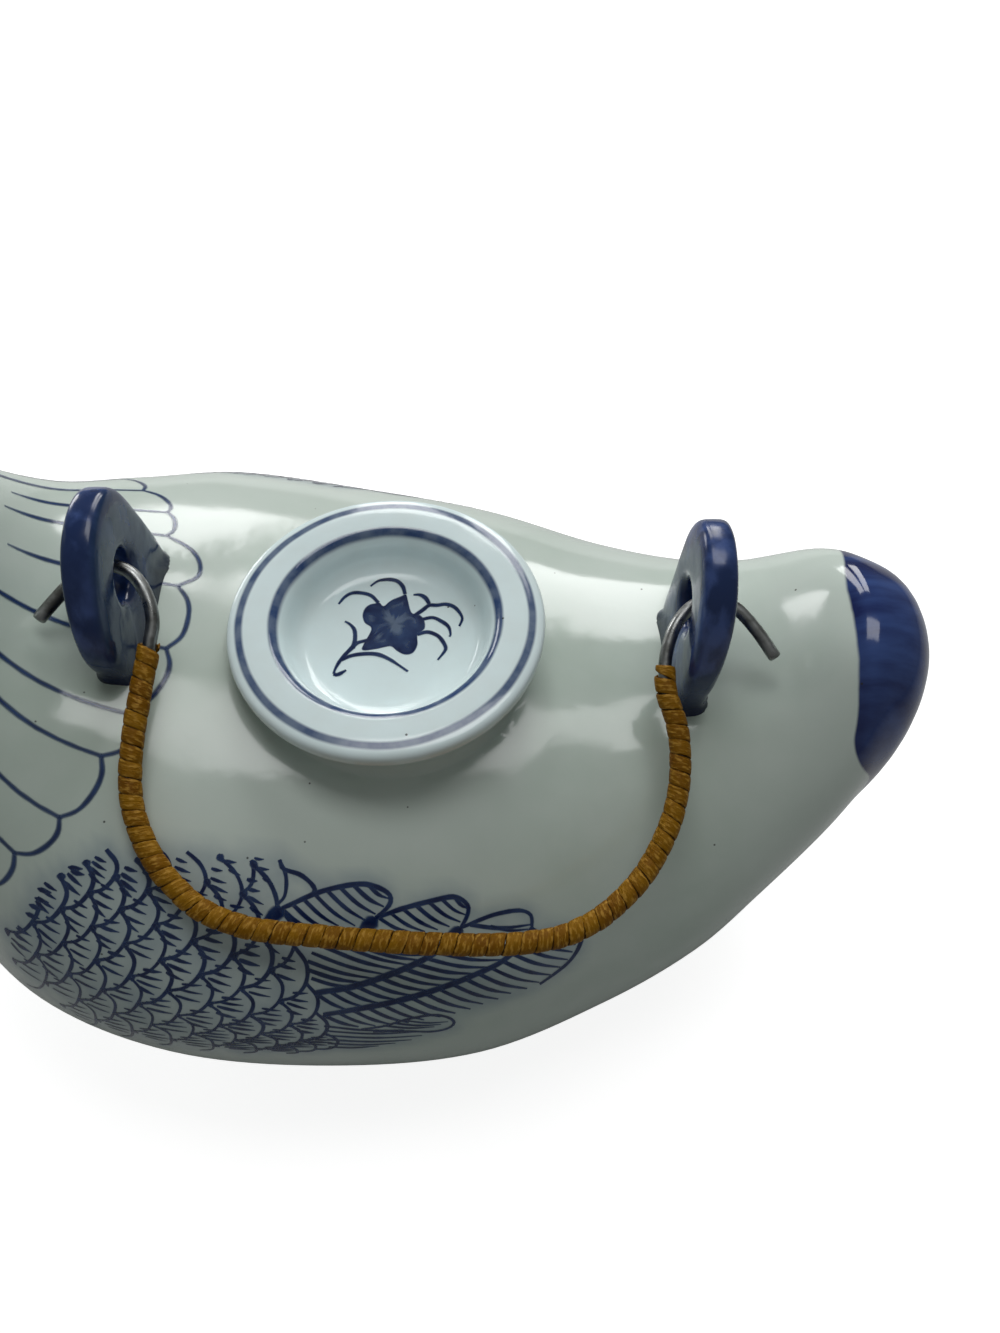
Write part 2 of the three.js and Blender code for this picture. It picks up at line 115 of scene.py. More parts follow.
class Shader(Graph):
    """A material's node tree with short words for what glazes, metal and cane need."""

    def __init__(self, name: str) -> None:
        """Makes an empty material of that name."""
        self.material = bpy.data.materials.new(name)
        self.material.use_nodes = True
        super().__init__(self.material.node_tree)
        self.tree.nodes.clear()
        self.place = self.add("ShaderNodeTexCoord").outputs["Object"]

    def axes(self) -> bpy.types.Node:
        """Splits the object place, in metres, into its three axes."""
        return self.add("ShaderNodeSeparateXYZ", {0: self.place})

    def noise(self, scale: float, detail: float = 3.0, place: Any = None, stretch: Colour = (1, 1, 1)) -> Any:
        """Gives a noise value from 0 to 1.

        Args:
            scale: Features in a metre.
            detail: Octaves of finer noise.
            place: Where it is read; the object place if left out.
            stretch: How much closer together the features lie on each axis.

        Returns:
            The noise factor socket.
        """
        spot = self.place if place is None else place
        if stretch != (1, 1, 1):
            spot = self.add("ShaderNodeMapping", {"Vector": spot, "Scale": stretch}).outputs[0]
        node = self.add("ShaderNodeTexNoise", {"Vector": spot, "Scale": scale, "Detail": detail})
        return node.outputs[0]

    def remap(self, value: Any, low: float, high: float, to_low: float = 0.0, to_high: float = 1.0) -> Any:
        """Maps a value smoothly from one range to another, held at both ends."""
        node = self.add(
            "ShaderNodeMapRange",
            {"Value": value, "From Min": low, "From Max": high, "To Min": to_low, "To Max": to_high},
            interpolation_type="SMOOTHSTEP",
        )
        return node.outputs[0]

    def mix(self, share: Any, first: Any, second: Any) -> bpy.types.NodeSocket:
        """Mixes two colours.

        Args:
            share: How much of the second shows, from 0 to 1.
            first: A colour or a colour socket.
            second: A colour or a colour socket.

        Returns:
            The mixed colour.
        """
        first = (*first, 1.0) if isinstance(first, tuple) and len(first) == 3 else first
        second = (*second, 1.0) if isinstance(second, tuple) and len(second) == 3 else second
        node = self.add("ShaderNodeMix", {0: share, 6: first, 7: second}, data_type="RGBA", clamp_factor=True)
        return node.outputs[2]

    def bump(self, height: Any, depth: float, strength: float = 1.0, over: Any = None) -> Any:
        """Tilts the surface by a height.

        Args:
            height: The height from 0 to 1.
            depth: What a height of 1 stands for, in millimetres.
            strength: How much of it shows.
            over: Another bump's result that this one lies on.

        Returns:
            The normal socket.
        """
        inputs: dict[str | int, Any] = {"Height": height, "Distance": depth * MM, "Strength": strength}
        if over is not None:
            inputs["Normal"] = over
        return self.add("ShaderNodeBump", inputs).outputs[0]

    def attribute(self, name: str) -> bpy.types.NodeSocket:
        """Gives a value that the mesh carries under that name."""
        return self.add("ShaderNodeAttribute", attribute_name=name).outputs["Fac"]

    def surface(self, colour: Any, roughness: Any, normal: Any = None, **more: Any) -> bpy.types.Material:
        """Closes the material with one principled surface.

        Args:
            colour: The base colour or its socket.
            roughness: The roughness or its socket.
            normal: A bump's result.
            **more: Other plain values of the shader, by their names with underscores for spaces.

        Returns:
            The finished material.
        """
        colour = (*colour, 1.0) if isinstance(colour, tuple) else colour
        inputs: dict[str | int, Any] = {"Base Color": colour, "Roughness": roughness}
        if normal is not None:
            inputs["Normal"] = normal
        inputs.update({key.replace("_", " "): value for key, value in more.items()})
        shader = self.add("ShaderNodeBsdfPrincipled", inputs)
        self.add("ShaderNodeOutputMaterial", {0: shader})
        return self.material


class Weave(Graph):
    """A geometry tree with named inputs that ends in plain, smooth meshes of one finish."""

    def __init__(self, name: str, source: str, inputs: dict[str, str], result: str) -> None:
        """Makes a tree that has its inputs and no steps.

        Args:
            name: The tree's name.
            source: The name of the geometry that goes in.
            inputs: The kind of each other input but the finish, by its name.
            result: The name of the geometry that comes out.
        """
        super().__init__(bpy.data.node_groups.new(name, "GeometryNodeTree"))
        face = self.tree.interface
        for label, kind in {source: "Geometry", **inputs, "Finish": "Material"}.items():
            face.new_socket(label, in_out="INPUT", socket_type=f"NodeSocket{kind}")
        face.new_socket(result, in_out="OUTPUT", socket_type="NodeSocketGeometry")
        self.given = self.add("NodeGroupInput").outputs

    def vector(self, operation: str, *values: Any) -> bpy.types.NodeSocket:
        """Gives the vector that one step on vectors makes."""
        return self.add("ShaderNodeVectorMath", dict(enumerate(values)), operation=operation).outputs[0]

    def scaled(self, value: Any, size: Any) -> bpy.types.NodeSocket:
        """Gives a vector made longer or shorter."""
        return self.add("ShaderNodeVectorMath", {0: value, "Scale": size}, operation="SCALE").outputs[0]

    def carried(self, name: str, kind: str) -> bpy.types.NodeSocket:
        """Gives a value that the mesh carries under that name."""
        return self.add("GeometryNodeInputNamedAttribute", {"Name": name}, data_type=kind).outputs[0]

    def sway(self, value: Any, scale: float, detail: float) -> bpy.types.NodeSocket:
        """Gives a smooth random number round 0 that changes along a value."""
        inputs = {"W": value, "Scale": scale, "Detail": detail}
        wave = self.add("ShaderNodeTexNoise", inputs, noise_dimensions="1D")
        return self.math("SUBTRACT", wave.outputs[0], 0.5)

    def captured(self, geometry: Any, values: dict[str, tuple[str, Any]]) -> list[bpy.types.NodeSocket]:
        """Reads values at a geometry's points, so that later steps can use them.

        Args:
            geometry: The geometry.
            values: The kind and the socket of each value, by its name.

        Returns:
            The geometry, then each value as it was read.
        """
        hold = self.add("GeometryNodeCaptureAttribute", domain="POINT")
        for name, (kind, _) in values.items():
            hold.capture_items.new(kind, name)
        for number, value in enumerate((geometry, *(socket for _, socket in values.values()))):
            self.feed(hold.inputs[number], value)
        return list(hold.outputs)[: len(values) + 1]

    def stored(self, geometry: Any, name: str, value: Any) -> bpy.types.Node:
        """Writes a number on each of a mesh's points under a name."""
        inputs = {"Geometry": geometry, "Name": name, "Value": value}
        return self.add("GeometryNodeStoreNamedAttribute", inputs, data_type="FLOAT", domain="POINT")

    def close(self, geometry: Any) -> bpy.types.NodeTree:
        """Ends the tree with the smooth, real meshes in their finish."""
        for kind in ("GeometryNodeSetShadeSmooth", "GeometryNodeRealizeInstances"):
            geometry = self.add(kind, {0: geometry})
        dressed = self.add("GeometryNodeSetMaterial", {0: geometry, "Material": self.given["Finish"]})
        self.add("NodeGroupOutput", {0: dressed})
        return self.tree


# Finishes.


class WashEdge(Enum):
    """Where a glazed piece is washed with cobalt."""

    TAIL = "tail cap"
    RINGS = "two brushed rings"


@dataclass(frozen=True)
class Porcelain:
    """White porcelain under a clear, slightly grey-green glaze, with a few brushed cobalt areas.

    Each ring is a radius, a width and a strength. Each bend moves the edge of the tail's cobalt cap: an axis,
    the two places on it between which the edge moves, and how far it is shifted at either.
    """

    name: str
    wash: WashEdge
    glaze: Colour = (0.585, 0.665, 0.605)
    pooled: Colour = (0.475, 0.565, 0.495)
    milky: Colour = (0.65, 0.70, 0.66)
    cobalt: Colour = (0.006, 0.014, 0.085)
    cobalt_thin: Colour = (0.036, 0.074, 0.235)
    # Blue-grey round the wing strokes: cobalt that ran into the glaze, and also painted shade over the wings.
    bled_and_shade: Colour = (0.150, 0.220, 0.300)
    iron: Colour = (0.02, 0.02, 0.02)
    bisque: Colour = (0.62, 0.57, 0.49)
    bisque_grain: Colour = (0.5, 0.45, 0.36)
    ring_cobalt: Colour = (0.026, 0.060, 0.165)
    rubbed: Colour = (0.60, 0.54, 0.44)
    roughness: float = 0.11
    rubbed_heights: Point2 = (97.2, 99.5)
    rubbed_radius: float = 29.0
    rings: Sequence[Point3] = ((22.9, 1.9, 1.0), (29.6, 1.7, 0.95))
    ring_height: float = 92.0
    tail_edge: float = 92.2
    tail_bends: Sequence[tuple[str, float, float, float, float]] = (
        ("Z", 77.0, 93.0, 6.6, 0.0),
        ("Z", 56.0, 76.0, 9.0, 0.0),
        ("Z", 98.0, 105.0, 0.0, 0.4),
        ("Y", 2.0, 26.0, 0.0, 4.2),
    )
    foot_height: float = 1.1

    def specks(self, s: Shader, scale: float, size: float) -> Any:
        """Gives small sparse iron specks as a share from 0 to 1."""
        cells = s.add("ShaderNodeTexVoronoi", {"Vector": s.place, "Scale": scale, "Randomness": 1.0})
        lot = s.add("ShaderNodeSeparateColor", {0: cells.outputs["Color"]}).outputs[0]
        near = s.remap(cells.outputs["Distance"], size * 0.55, size, 1.0, 0.0)
        return s.math("MULTIPLY", near, s.math("GREATER_THAN", lot, 0.6))

    def away(self, s: Shader) -> Any:
        """Gives the distance from the lid's axis in metres."""
        axis = s.axes().outputs
        flat = s.add("ShaderNodeCombineXYZ", {0: axis["X"], 1: axis["Y"]})
        return s.add("ShaderNodeVectorMath", {0: flat}, operation="LENGTH").outputs["Value"]

    def ring(self, s: Shader, radius: float, width: float, strength: float) -> Any:
        """Gives one brushed circle round the lid's axis as a share from 0 to 1."""
        wobble = s.math("MULTIPLY", s.math("SUBTRACT", s.noise(55, 2), 0.5), 0.7 * MM)
        off = s.math("ABSOLUTE", s.math("SUBTRACT", s.math("ADD", self.away(s), wobble), radius * MM))
        half = width * MM / 2
        line = s.remap(off, half * 0.5, half * 1.3, 1.0, 0.0)
        load = s.remap(s.noise(260, 4), 0.3, 0.7, 0.87 * strength, strength)
        up = s.math("GREATER_THAN", s.axes().outputs["Z"], self.ring_height * MM)
        return s.math("MULTIPLY", s.math("MULTIPLY", line, load), up)

    def tail(self, s: Shader) -> tuple[Any, Any]:
        """Gives the cobalt cap on the tail and its unevenness, each as a share from 0 to 1."""
        place = s.axes().outputs
        edge: Any = 0.0
        for axis, *bend in self.tail_bends:
            edge = s.math("ADD", edge, s.remap(place[axis], *(length * MM for length in bend)))
        wobble = s.math("MULTIPLY", s.math("SUBTRACT", s.noise(70, 3), 0.5), 1.2 * MM)
        inwards = s.math("SUBTRACT", s.math("ADD", place["X"], wobble), edge)
        cap = s.remap(inwards, (self.tail_edge - 0.25) * MM, (self.tail_edge + 0.4) * MM)
        rim = s.remap(inwards, (self.tail_edge + 0.3) * MM, (self.tail_edge + 3.0) * MM, 1.0, 0.0)
        streaks = s.remap(s.noise(60, 5, stretch=(0.5, 2.2, 1.0)), 0.36, 0.66)
        load = s.math("ADD", streaks, s.math("MULTIPLY", rim, 0.3), clamp=True)
        return cap, load

    def clear(self, s: Shader) -> Any:
        """Gives the unpainted glaze's colour, cloudy and a little greener where it pooled."""
        pool = s.remap(s.noise(14, 3), 0.35, 0.68)
        colour = s.mix(pool, self.glaze, self.pooled)
        mottle = s.remap(s.noise(160, 4), 0.3, 0.75, 0.0, 0.16)
        return s.mix(mottle, colour, self.milky)

    def gloss(self, s: Shader) -> tuple[Any, Any]:
        """Gives the glaze's roughness and its slightly wavy, pitted surface."""
        rough = s.remap(s.noise(40, 3), 0.3, 0.75, self.roughness * 0.8, self.roughness * 1.5)
        wave = s.bump(s.noise(26, 2), 1.5, 0.6)
        ripple = s.bump(s.noise(95, 3), 0.16, 0.6, wave)
        return rough, s.bump(s.noise(900, 2), 0.012, 0.35, ripple)

    def tail_paint(self, s: Shader, colour: Any) -> Any:
        """Lays the blue that ran out of the strokes into the glaze, which is also painted shade over the
        wings, and the cobalt cap, over a colour.
        """
        # Painted shade: this mark darkens the glaze over the whole wing, not only where the ink ran.
        bled_and_shade = s.math("MULTIPLY", s.attribute("bleed_and_shade"), s.remap(s.noise(120, 3), 0.3, 0.7, 0.34, 0.56))
        colour = s.mix(bled_and_shade, colour, self.bled_and_shade)
        cap, load = self.tail(s)
        return s.mix(cap, colour, s.mix(load, self.cobalt_thin, self.cobalt))

    def ring_paint(self, s: Shader, colour: Any) -> Any:
        """Lays the rubbed rim and the brushed circles over a colour."""
        heights = (height * MM for height in self.rubbed_heights)
        low = s.remap(s.axes().outputs["Z"], *heights, 0.75, 0.0)
        low = s.math("MULTIPLY", low, s.math("GREATER_THAN", self.away(s), self.rubbed_radius * MM))
        colour = s.mix(s.math("MULTIPLY", low, s.remap(s.noise(45, 3), 0.35, 0.6)), colour, self.rubbed)
        inner, outer = (self.ring(s, *ring) for ring in self.rings)
        return s.mix(s.math("MAXIMUM", inner, outer), colour, self.ring_cobalt)

    @functools.cache
    def material(self) -> bpy.types.Material:
        """Builds the glaze, with the bird's unglazed foot."""
        s = Shader(self.name)
        is_bird = self.wash is WashEdge.TAIL
        paint = self.tail_paint if is_bird else self.ring_paint
        colour = paint(s, self.clear(s))
        speck = self.specks(s, 160, 0.05)
        colour = s.mix(s.math("MULTIPLY", speck, 0.85), colour, self.iron)
        rough, wavy = self.gloss(s)
        if is_bird:
            bare = s.math("LESS_THAN", s.axes().outputs["Z"], self.foot_height * MM)
            colour = s.mix(bare, colour, s.mix(s.noise(900, 2), self.bisque, self.bisque_grain))
            rough = s.math("MAXIMUM", rough, s.math("MULTIPLY", bare, 0.7))
        return s.surface(colour, rough, wavy, IOR=1.5)


@dataclass(frozen=True)
class CobaltWash:
    """A thick uneven cobalt wash under a glossy glaze: milky where it broke, dark where it pooled."""

    name: str
    thin: Colour = (0.010, 0.032, 0.080)
    broken: Colour = (0.062, 0.108, 0.300)
    full: Colour = (0.011, 0.028, 0.102)
    pooled: Colour = (0.004, 0.006, 0.028)

    @functools.cache
    def material(self) -> bpy.types.Material:
        """Builds the wash, from brush streaks, cloudy patches and dark low places."""
        s = Shader(self.name)
        streak = s.remap(s.noise(190, 6, stretch=(1.0, 0.9, 0.4)), 0.44, 0.68)
        cloud = s.remap(s.noise(70, 3), 0.4, 0.62)
        colour = s.mix(s.math("MULTIPLY", streak, 0.85), self.full, self.broken)
        colour = s.mix(s.math("MULTIPLY", cloud, 0.8), colour, self.full)
        weak = s.math("MULTIPLY", s.attribute("thin"), s.remap(s.noise(55, 4), 0.25, 0.6))
        colour = s.mix(s.math("MULTIPLY", weak, 0.85), colour, self.thin)
        low = s.math("MULTIPLY", s.attribute("pool"), s.remap(s.noise(90, 3), 0.2, 0.6, 0.6, 1.0))
        colour = s.mix(s.math("MULTIPLY", low, 0.93), colour, self.pooled)
        grain = s.bump(s.noise(420, 4), 0.06, 0.4)
        dent = s.bump(s.noise(110, 2), 0.5, 0.6, grain)
        return s.surface(colour, s.remap(s.noise(120, 3), 0.3, 0.7, 0.1, 0.24), dent, IOR=1.45)


@dataclass(frozen=True)
class BrushInk:
    """Cobalt brush lines seen through the glaze: full in the middle, thinned out at both edges."""

    name: str
    over: Porcelain
    line: Colour = (0.004, 0.012, 0.060)
    thin: Colour = (0.040, 0.084, 0.205)

    @functools.cache
    def material(self) -> bpy.types.Material:
        """Builds the line from the ink that each ribbon carries across its width."""
        s = Shader(self.name)
        ink = s.attribute("ink")
        uneven = s.remap(s.noise(300, 5), 0.32, 0.7, 0.0, 0.36)
        full = s.math("SUBTRACT", s.remap(ink, 0.1, 0.85), uneven, clamp=True)
        paint = s.mix(full, self.thin, self.line)
        colour = s.mix(s.remap(ink, 0.0, 0.3), self.over.clear(s), paint)
        rough, wavy = self.over.gloss(s)
        return s.surface(colour, rough, wavy, IOR=1.5, Alpha=s.remap(ink, 0.0, 0.7))


@dataclass(frozen=True)
class DrawnSteel:
    """Dull drawn steel wire with fine lengthwise die marks."""

    name: str
    clean: Colour = (0.33, 0.34, 0.335)
    stained: Colour = (0.11, 0.11, 0.10)

    @functools.cache
    def material(self) -> bpy.types.Material:
        """Builds the metal."""
        s = Shader(self.name)
        stain = s.remap(s.noise(210, 4), 0.42, 0.72)
        marks = s.noise(2600, 3)
        colour = s.mix(stain, self.clean, self.stained)
        rough = s.remap(s.noise(500, 3), 0.3, 0.7, 0.26, 0.46)
        return s.surface(colour, rough, s.bump(marks, 0.03, 0.5), Metallic=1.0)


@dataclass(frozen=True)
class SplitCane:
    """Varnished split cane: amber, with painted shade along the edges of the strip where the turns meet, and
    lengthwise fibres.
    """

    name: str
    amber: Colour = (0.195, 0.082, 0.002)
    light: Colour = (0.285, 0.135, 0.005)
    blotch: Colour = (0.160, 0.058, 0.006)
    # Painted shade for the creases between turns of the strip.
    seam_shade: Colour = (0.035, 0.012, 0.003)
    worn: Colour = (0.50, 0.27, 0.045)

    @functools.cache
    def material(self) -> bpy.types.Material:
        """Builds the cane from the strip's own length, width and turn."""
        s = Shader(self.name)
        across, along, turn = (s.attribute(name) for name in ("across", "along", "tone"))

        def grain(lengthwise: float, crosswise: float, detail: float) -> Any:
            spot = {0: s.math("MULTIPLY", along, lengthwise), 1: s.math("MULTIPLY", across, crosswise)}
            return s.noise(1.0, detail, s.add("ShaderNodeCombineXYZ", spot))

        fibre = grain(0.35, 11.0, 4.0)
        crack = grain(0.9, 5.0, 3.0)
        tone = s.remap(s.math("ADD", s.math("MULTIPLY", turn, 0.6), s.math("MULTIPLY", fibre, 0.5)), 0.2, 0.9)
        colour = s.mix(tone, self.amber, self.light)
        colour = s.mix(s.remap(s.noise(240, 3), 0.45, 0.75, 0.0, 0.55), colour, self.blotch)
        # Painted shade: the strip's edges are darkened as if shaded in the creases between turns.
        rim = s.remap(s.math("ABSOLUTE", s.math("SUBTRACT", across, 0.5)), 0.42, 0.5)
        colour = s.mix(s.math("MULTIPLY", rim, 0.88), colour, self.seam_shade)
        colour = s.mix(s.remap(crack, 0.48, 0.66, 0.0, 0.75), colour, self.worn)
        groove = s.math("ADD", s.remap(fibre, 0.35, 0.65), s.remap(crack, 0.4, 0.6))
        rough = s.remap(fibre, 0.3, 0.7, 0.4, 0.6)
        return s.surface(colour, rough, s.bump(groove, 0.07, 0.8), IOR=1.4, Specular_IOR_Level=0.14)


@dataclass(frozen=True)
class StudioPaper:
    """Plain white paper under the pot: white to the camera, and it keeps the pot's shadow."""

    name: str
    shade: Colour = (0.58, 0.58, 0.58)
    glow: float = 0.84

    @functools.cache
    def material(self) -> bpy.types.Material:
        """Builds the paper."""
        s = Shader(self.name)
        seen = s.add("ShaderNodeLightPath").outputs["Is Camera Ray"]
        paper = s.add("ShaderNodeBsdfDiffuse", {"Color": (*self.shade, 1.0)})
        glow = s.math("MULTIPLY", seen, self.glow)
        light = s.add("ShaderNodeEmission", {"Color": (1, 1, 1, 1), "Strength": glow})
        both = s.add("ShaderNodeAddShader", {0: paper, 1: light})
        s.add("ShaderNodeOutputMaterial", {0: both})
        return s.material


# Meshes.


def linked(name: str, data: Any) -> bpy.types.Object:
    """Makes an object of its data, at the origin of the scene."""
    obj = bpy.data.objects.new(name, data)
    bpy.context.scene.collection.objects.link(obj)
    return obj


def carry(mesh: bpy.types.Mesh, name: str, values: Any) -> None:
    """Writes one number, or one direction, for each point of a mesh under a name."""
    rows = np.asarray(values, np.float32)
    kind, part = ("FLOAT", "value") if rows.ndim == 1 else ("FLOAT_VECTOR", "vector")
    mesh.attributes.new(name, kind, "POINT").data.foreach_set(part, rows.ravel())


def solid(name: str, points: Any, faces: Sequence[Sequence[int]], turn_out: bool = True) -> bpy.types.Object:
    """Makes a mesh object at the origin.

    Args:
        name: The object's name.
        points: Points in millimetres.
        faces: Point numbers of each face.
        turn_out: Whether the faces are turned outwards.

    Returns:
        The object, in the scene.
    """
    mesh = bpy.data.meshes.new(name)
    mesh.from_pydata((np.asarray(points, float) * MM).tolist(), [], [list(face) for face in faces])
    if turn_out:
        form = bmesh.new()
        form.from_mesh(mesh)
        bmesh.ops.recalc_face_normals(form, faces=form.faces)
        form.to_mesh(mesh)
        form.free()
    return linked(name, mesh)


def threads(name: str, lines: Sequence[np.ndarray], carried: dict[str, Any]) -> bpy.types.Object:
    """Makes a mesh object of open lines.

    Args:
        name: The object's name.
        lines: A row for each point of each line: its place in millimetres, then what it carries.
        carried: The column or columns of each carried value, by the value's name.

    Returns:
        The object, in the scene.
    """
    mesh = bpy.data.meshes.new(name)
    edges = []
    first = 0
    for line in lines:
        edges += [(k, k + 1) for k in range(first, first + len(line) - 1)]
        first += len(line)
    rows = np.vstack(lines)
    mesh.from_pydata((rows[:, :3] * MM).tolist(), edges, [])
    for label, columns in carried.items():
        carry(mesh, label, rows[:, columns])
    return linked(name, mesh)


def loft(rings: np.ndarray, capped: bool = True) -> tuple[np.ndarray, list[list[int]]]:
    """Skins a row of closed rings.

    Args:
        rings: Points as rings, sides, xyz.
        capped: Whether each end gets one flat face; otherwise the last ring joins the first.

    Returns:
        The points and faces.
    """
    count, sides = rings.shape[:2]
    faces = []
    for i in range(count - 1 if capped else count):
        k = (i + 1) % count
        for j in range(sides):
            n = (j + 1) % sides
            faces.append([i * sides + j, i * sides + n, k * sides + n, k * sides + j])
    if capped:
        faces.append(list(range(sides))[::-1])
        faces.append([(count - 1) * sides + j for j in range(sides)])
    return rings.reshape(-1, 3), faces


def turned(
    profile: Sequence[Point2], segments: int, scale: Point2 = (1.0, 1.0)
) -> tuple[np.ndarray, list[list[int]]]:
    """Turns a profile round the vertical axis.

    Args:
        profile: Radius and height pairs; the first and last lie on the axis, or the profile closes on itself.
        segments: Faces round the axis.
        scale: Stretch along X and Y.

    Returns:
        The points and faces.
    """
    on_axis = profile[0][0] == 0.0
    rows = profile[1:-1] if on_axis else profile
    angles = np.linspace(0, 2 * math.pi, segments, endpoint=False)
    wide, deep = np.cos(angles) * scale[0], np.sin(angles) * scale[1]
    rings = np.array([np.stack([r * wide, r * deep, np.full(segments, z)], axis=1) for r, z in rows])
    points, faces = loft(rings, capped=on_axis)
    if on_axis:
        faces = faces[:-2]
        low, high = len(points), len(points) + 1
        points = np.vstack([points, [[0, 0, profile[0][1]], [0, 0, profile[-1][1]]]])
        base = (len(rows) - 1) * segments
        for j in range(segments):
            n = (j + 1) % segments
            faces.append([low, n, j])
            faces.append([high, base + j, base + n])
    return points, faces


def softened(outline: Sequence[tuple[float, float, float]], steps: int = 5) -> list[Point2]:
    """Rounds the corners of an open profile.

    Args:
        outline: Two coordinates and a corner radius for each point.
        steps: Pieces in each rounded corner.

    Returns:
        The rounded profile.
    """
    result: list[Point2] = []
    for i, (a, b, radius) in enumerate(outline):
        here = np.array([a, b], float)
        if radius <= 0 or i in (0, len(outline) - 1):
            result.append((a, b))
            continue
        before, after = (np.array(outline[k][:2], float) - here for k in (i - 1, i + 1))
        reach = [min(radius, 0.49 * np.linalg.norm(side)) for side in (before, after)]
        start = here + before / np.linalg.norm(before) * reach[0]
        end = here + after / np.linalg.norm(after) * reach[1]
        for k in range(steps + 1):
            t = k / steps
            spot = (1 - t) ** 2 * start + 2 * t * (1 - t) * here + t * t * end
            result.append((float(spot[0]), float(spot[1])))
    return result


def catmull_curve(knots: np.ndarray, per_span: int, centripetal: bool = False) -> np.ndarray:
    """Runs a Catmull-Rom curve through knots, as the solids' own curves do.

    Args:
        knots: Points of any dimension.
        per_span: Points on each span.
        centripetal: Whether the knots are spaced by the root of their distance.

    Returns:
        The curve's points, with the last knot.
    """
    knots = np.asarray(knots, float)
    full = np.vstack([2 * knots[0] - knots[1], knots, 2 * knots[-1] - knots[-2]])
    out = []
    for i in range(1, len(full) - 2):
        p0, p1, p2, p3 = full[i - 1 : i + 3]
        if centripetal:
            spans = ((p0, p1), (p1, p2), (p2, p3))
            d0, d1, d2 = (max(float(np.linalg.norm(b - a)) ** 0.5, 1e-4) for a, b in spans)
            m1 = ((p1 - p0) / d0 - (p2 - p0) / (d0 + d1) + (p2 - p1) / d1) * d1
            m2 = ((p2 - p1) / d1 - (p3 - p1) / (d1 + d2) + (p3 - p2) / d2) * d1
        else:
            m1, m2 = (p2 - p0) / 2, (p3 - p1) / 2
        for k in range(per_span):
            t = k / per_span
            t2, t3 = t * t, t * t * t
            ease = (2 * t3 - 3 * t2 + 1, t3 - 2 * t2 + t, 3 * t2 - 2 * t3, t3 - t2)
            out.append(ease[0] * p1 + ease[1] * m1 + ease[2] * p2 + ease[3] * m2)
    out.append(full[-2])
    return np.array(out)


def spaced(points: np.ndarray, count: int) -> np.ndarray:
    """Places points evenly along a line of points, and carries any columns after the first three along."""
    steps = np.linalg.norm(np.diff(points[:, :3], axis=0), axis=1)
    at = np.concatenate([[0], np.cumsum(steps)])
    want = np.linspace(0, at[-1], count)
    return np.stack([np.interp(want, at, points[:, k]) for k in range(points.shape[1])], axis=1)


def baked(obj: bpy.types.Object) -> None:
    """Turns an object's modifiers into its plain mesh."""
    bpy.context.view_layer.update()
    old = obj.data
    obj.data = bpy.data.meshes.new_from_object(obj.evaluated_get(bpy.context.evaluated_depsgraph_get()))
    obj.modifiers.clear()
    bpy.data.meshes.remove(old)
    obj.data.name = obj.name


def carve(obj: bpy.types.Object, tool: bpy.types.Object, operation: str) -> None:
    """Adds a second solid to an object or cuts it away.

    Args:
        obj: The solid that is kept.
        tool: The solid that is used up.
        operation: UNION or DIFFERENCE.
    """
    step = obj.modifiers.new(operation.lower(), "BOOLEAN")
    step.operation = operation
    step.object = tool
    step.solver = "MANIFOLD"
    baked(obj)
    bpy.data.objects.remove(tool)


def smooth(obj: bpy.types.Object, sharp: float = 38.0) -> bpy.types.Object:
    """Shades an object smooth, with creases where faces meet at more than an angle in degrees."""
    obj.data.polygons.foreach_set("use_smooth", [True] * len(obj.data.polygons))
    obj.data.set_sharp_from_angle(angle=math.radians(sharp))
    return obj


def hold_in(obj: bpy.types.Object, low: Vector, high: Vector) -> None:
    """Keeps every point of a mesh within a box in metres."""
    count = len(obj.data.vertices)
    places = np.zeros(count * 3, np.float32)
    obj.data.vertices.foreach_get("co", places)
    held = np.clip(places.reshape(-1, 3), np.array(low), np.array(high))
    obj.data.vertices.foreach_set("co", held.ravel().astype(np.float32))
    obj.data.update()


def finish_piece(
    obj: bpy.types.Object, material: bpy.types.Material, body: str, nodes: Sequence[str] = ()
) -> None:
    """Dresses a piece, parents it to its body and hides the CAD nodes it stands for.

    Args:
        obj: The piece.
        material: Its finish.
        body: The body that it rides on.
        nodes: The CAD nodes that it stands for.
    """
    obj.data.materials.clear()
    obj.data.materials.append(material)
    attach(obj, body)
    if nodes:
        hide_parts(*nodes)
    LOG.info("%s: %d faces, rides on %s", obj.name, len(obj.data.polygons), body)


def dress(obj: bpy.types.Object, tree: bpy.types.NodeTree, values: dict[str, Any]) -> None:
    """Puts an object through a geometry tree and keeps the plain mesh that comes out.

    Args:
        obj: The object.
        tree: The tree.
        values: The tree's inputs by their names; each is set by its socket's identifier.
    """
    step = obj.modifiers.new(tree.name, "NODES")
    step.node_group = tree
    for item in tree.interface.items_tree:
        if item.item_type == "SOCKET" and item.in_out == "INPUT" and item.name in values:
            step[item.identifier] = values[item.name]
    baked(obj)


# The bird.


@dataclass(frozen=True)
class Rib:
    """One rib of the bird: where it meets the back line and the belly line, and how wide it is."""

    back: Point2
    belly: Point2
    half: float
    waist: float

    def numbers(self) -> list[float]:
        """Gives the rib as six numbers."""
        return [*self.back, *self.belly, self.half, self.waist]


RUMP_REACH = 104.0
BEAK_REACH = 135.0
BACK_HEIGHT = 100.0
CROWN_HEIGHT = 173.5
HALF_WIDTH = 74.0
FRONT_HOLE: Point2 = (-51.4, 113.28)
REAR_HOLE: Point2 = (62.8, 103.71)
FAR_WING_DROP = 16.0


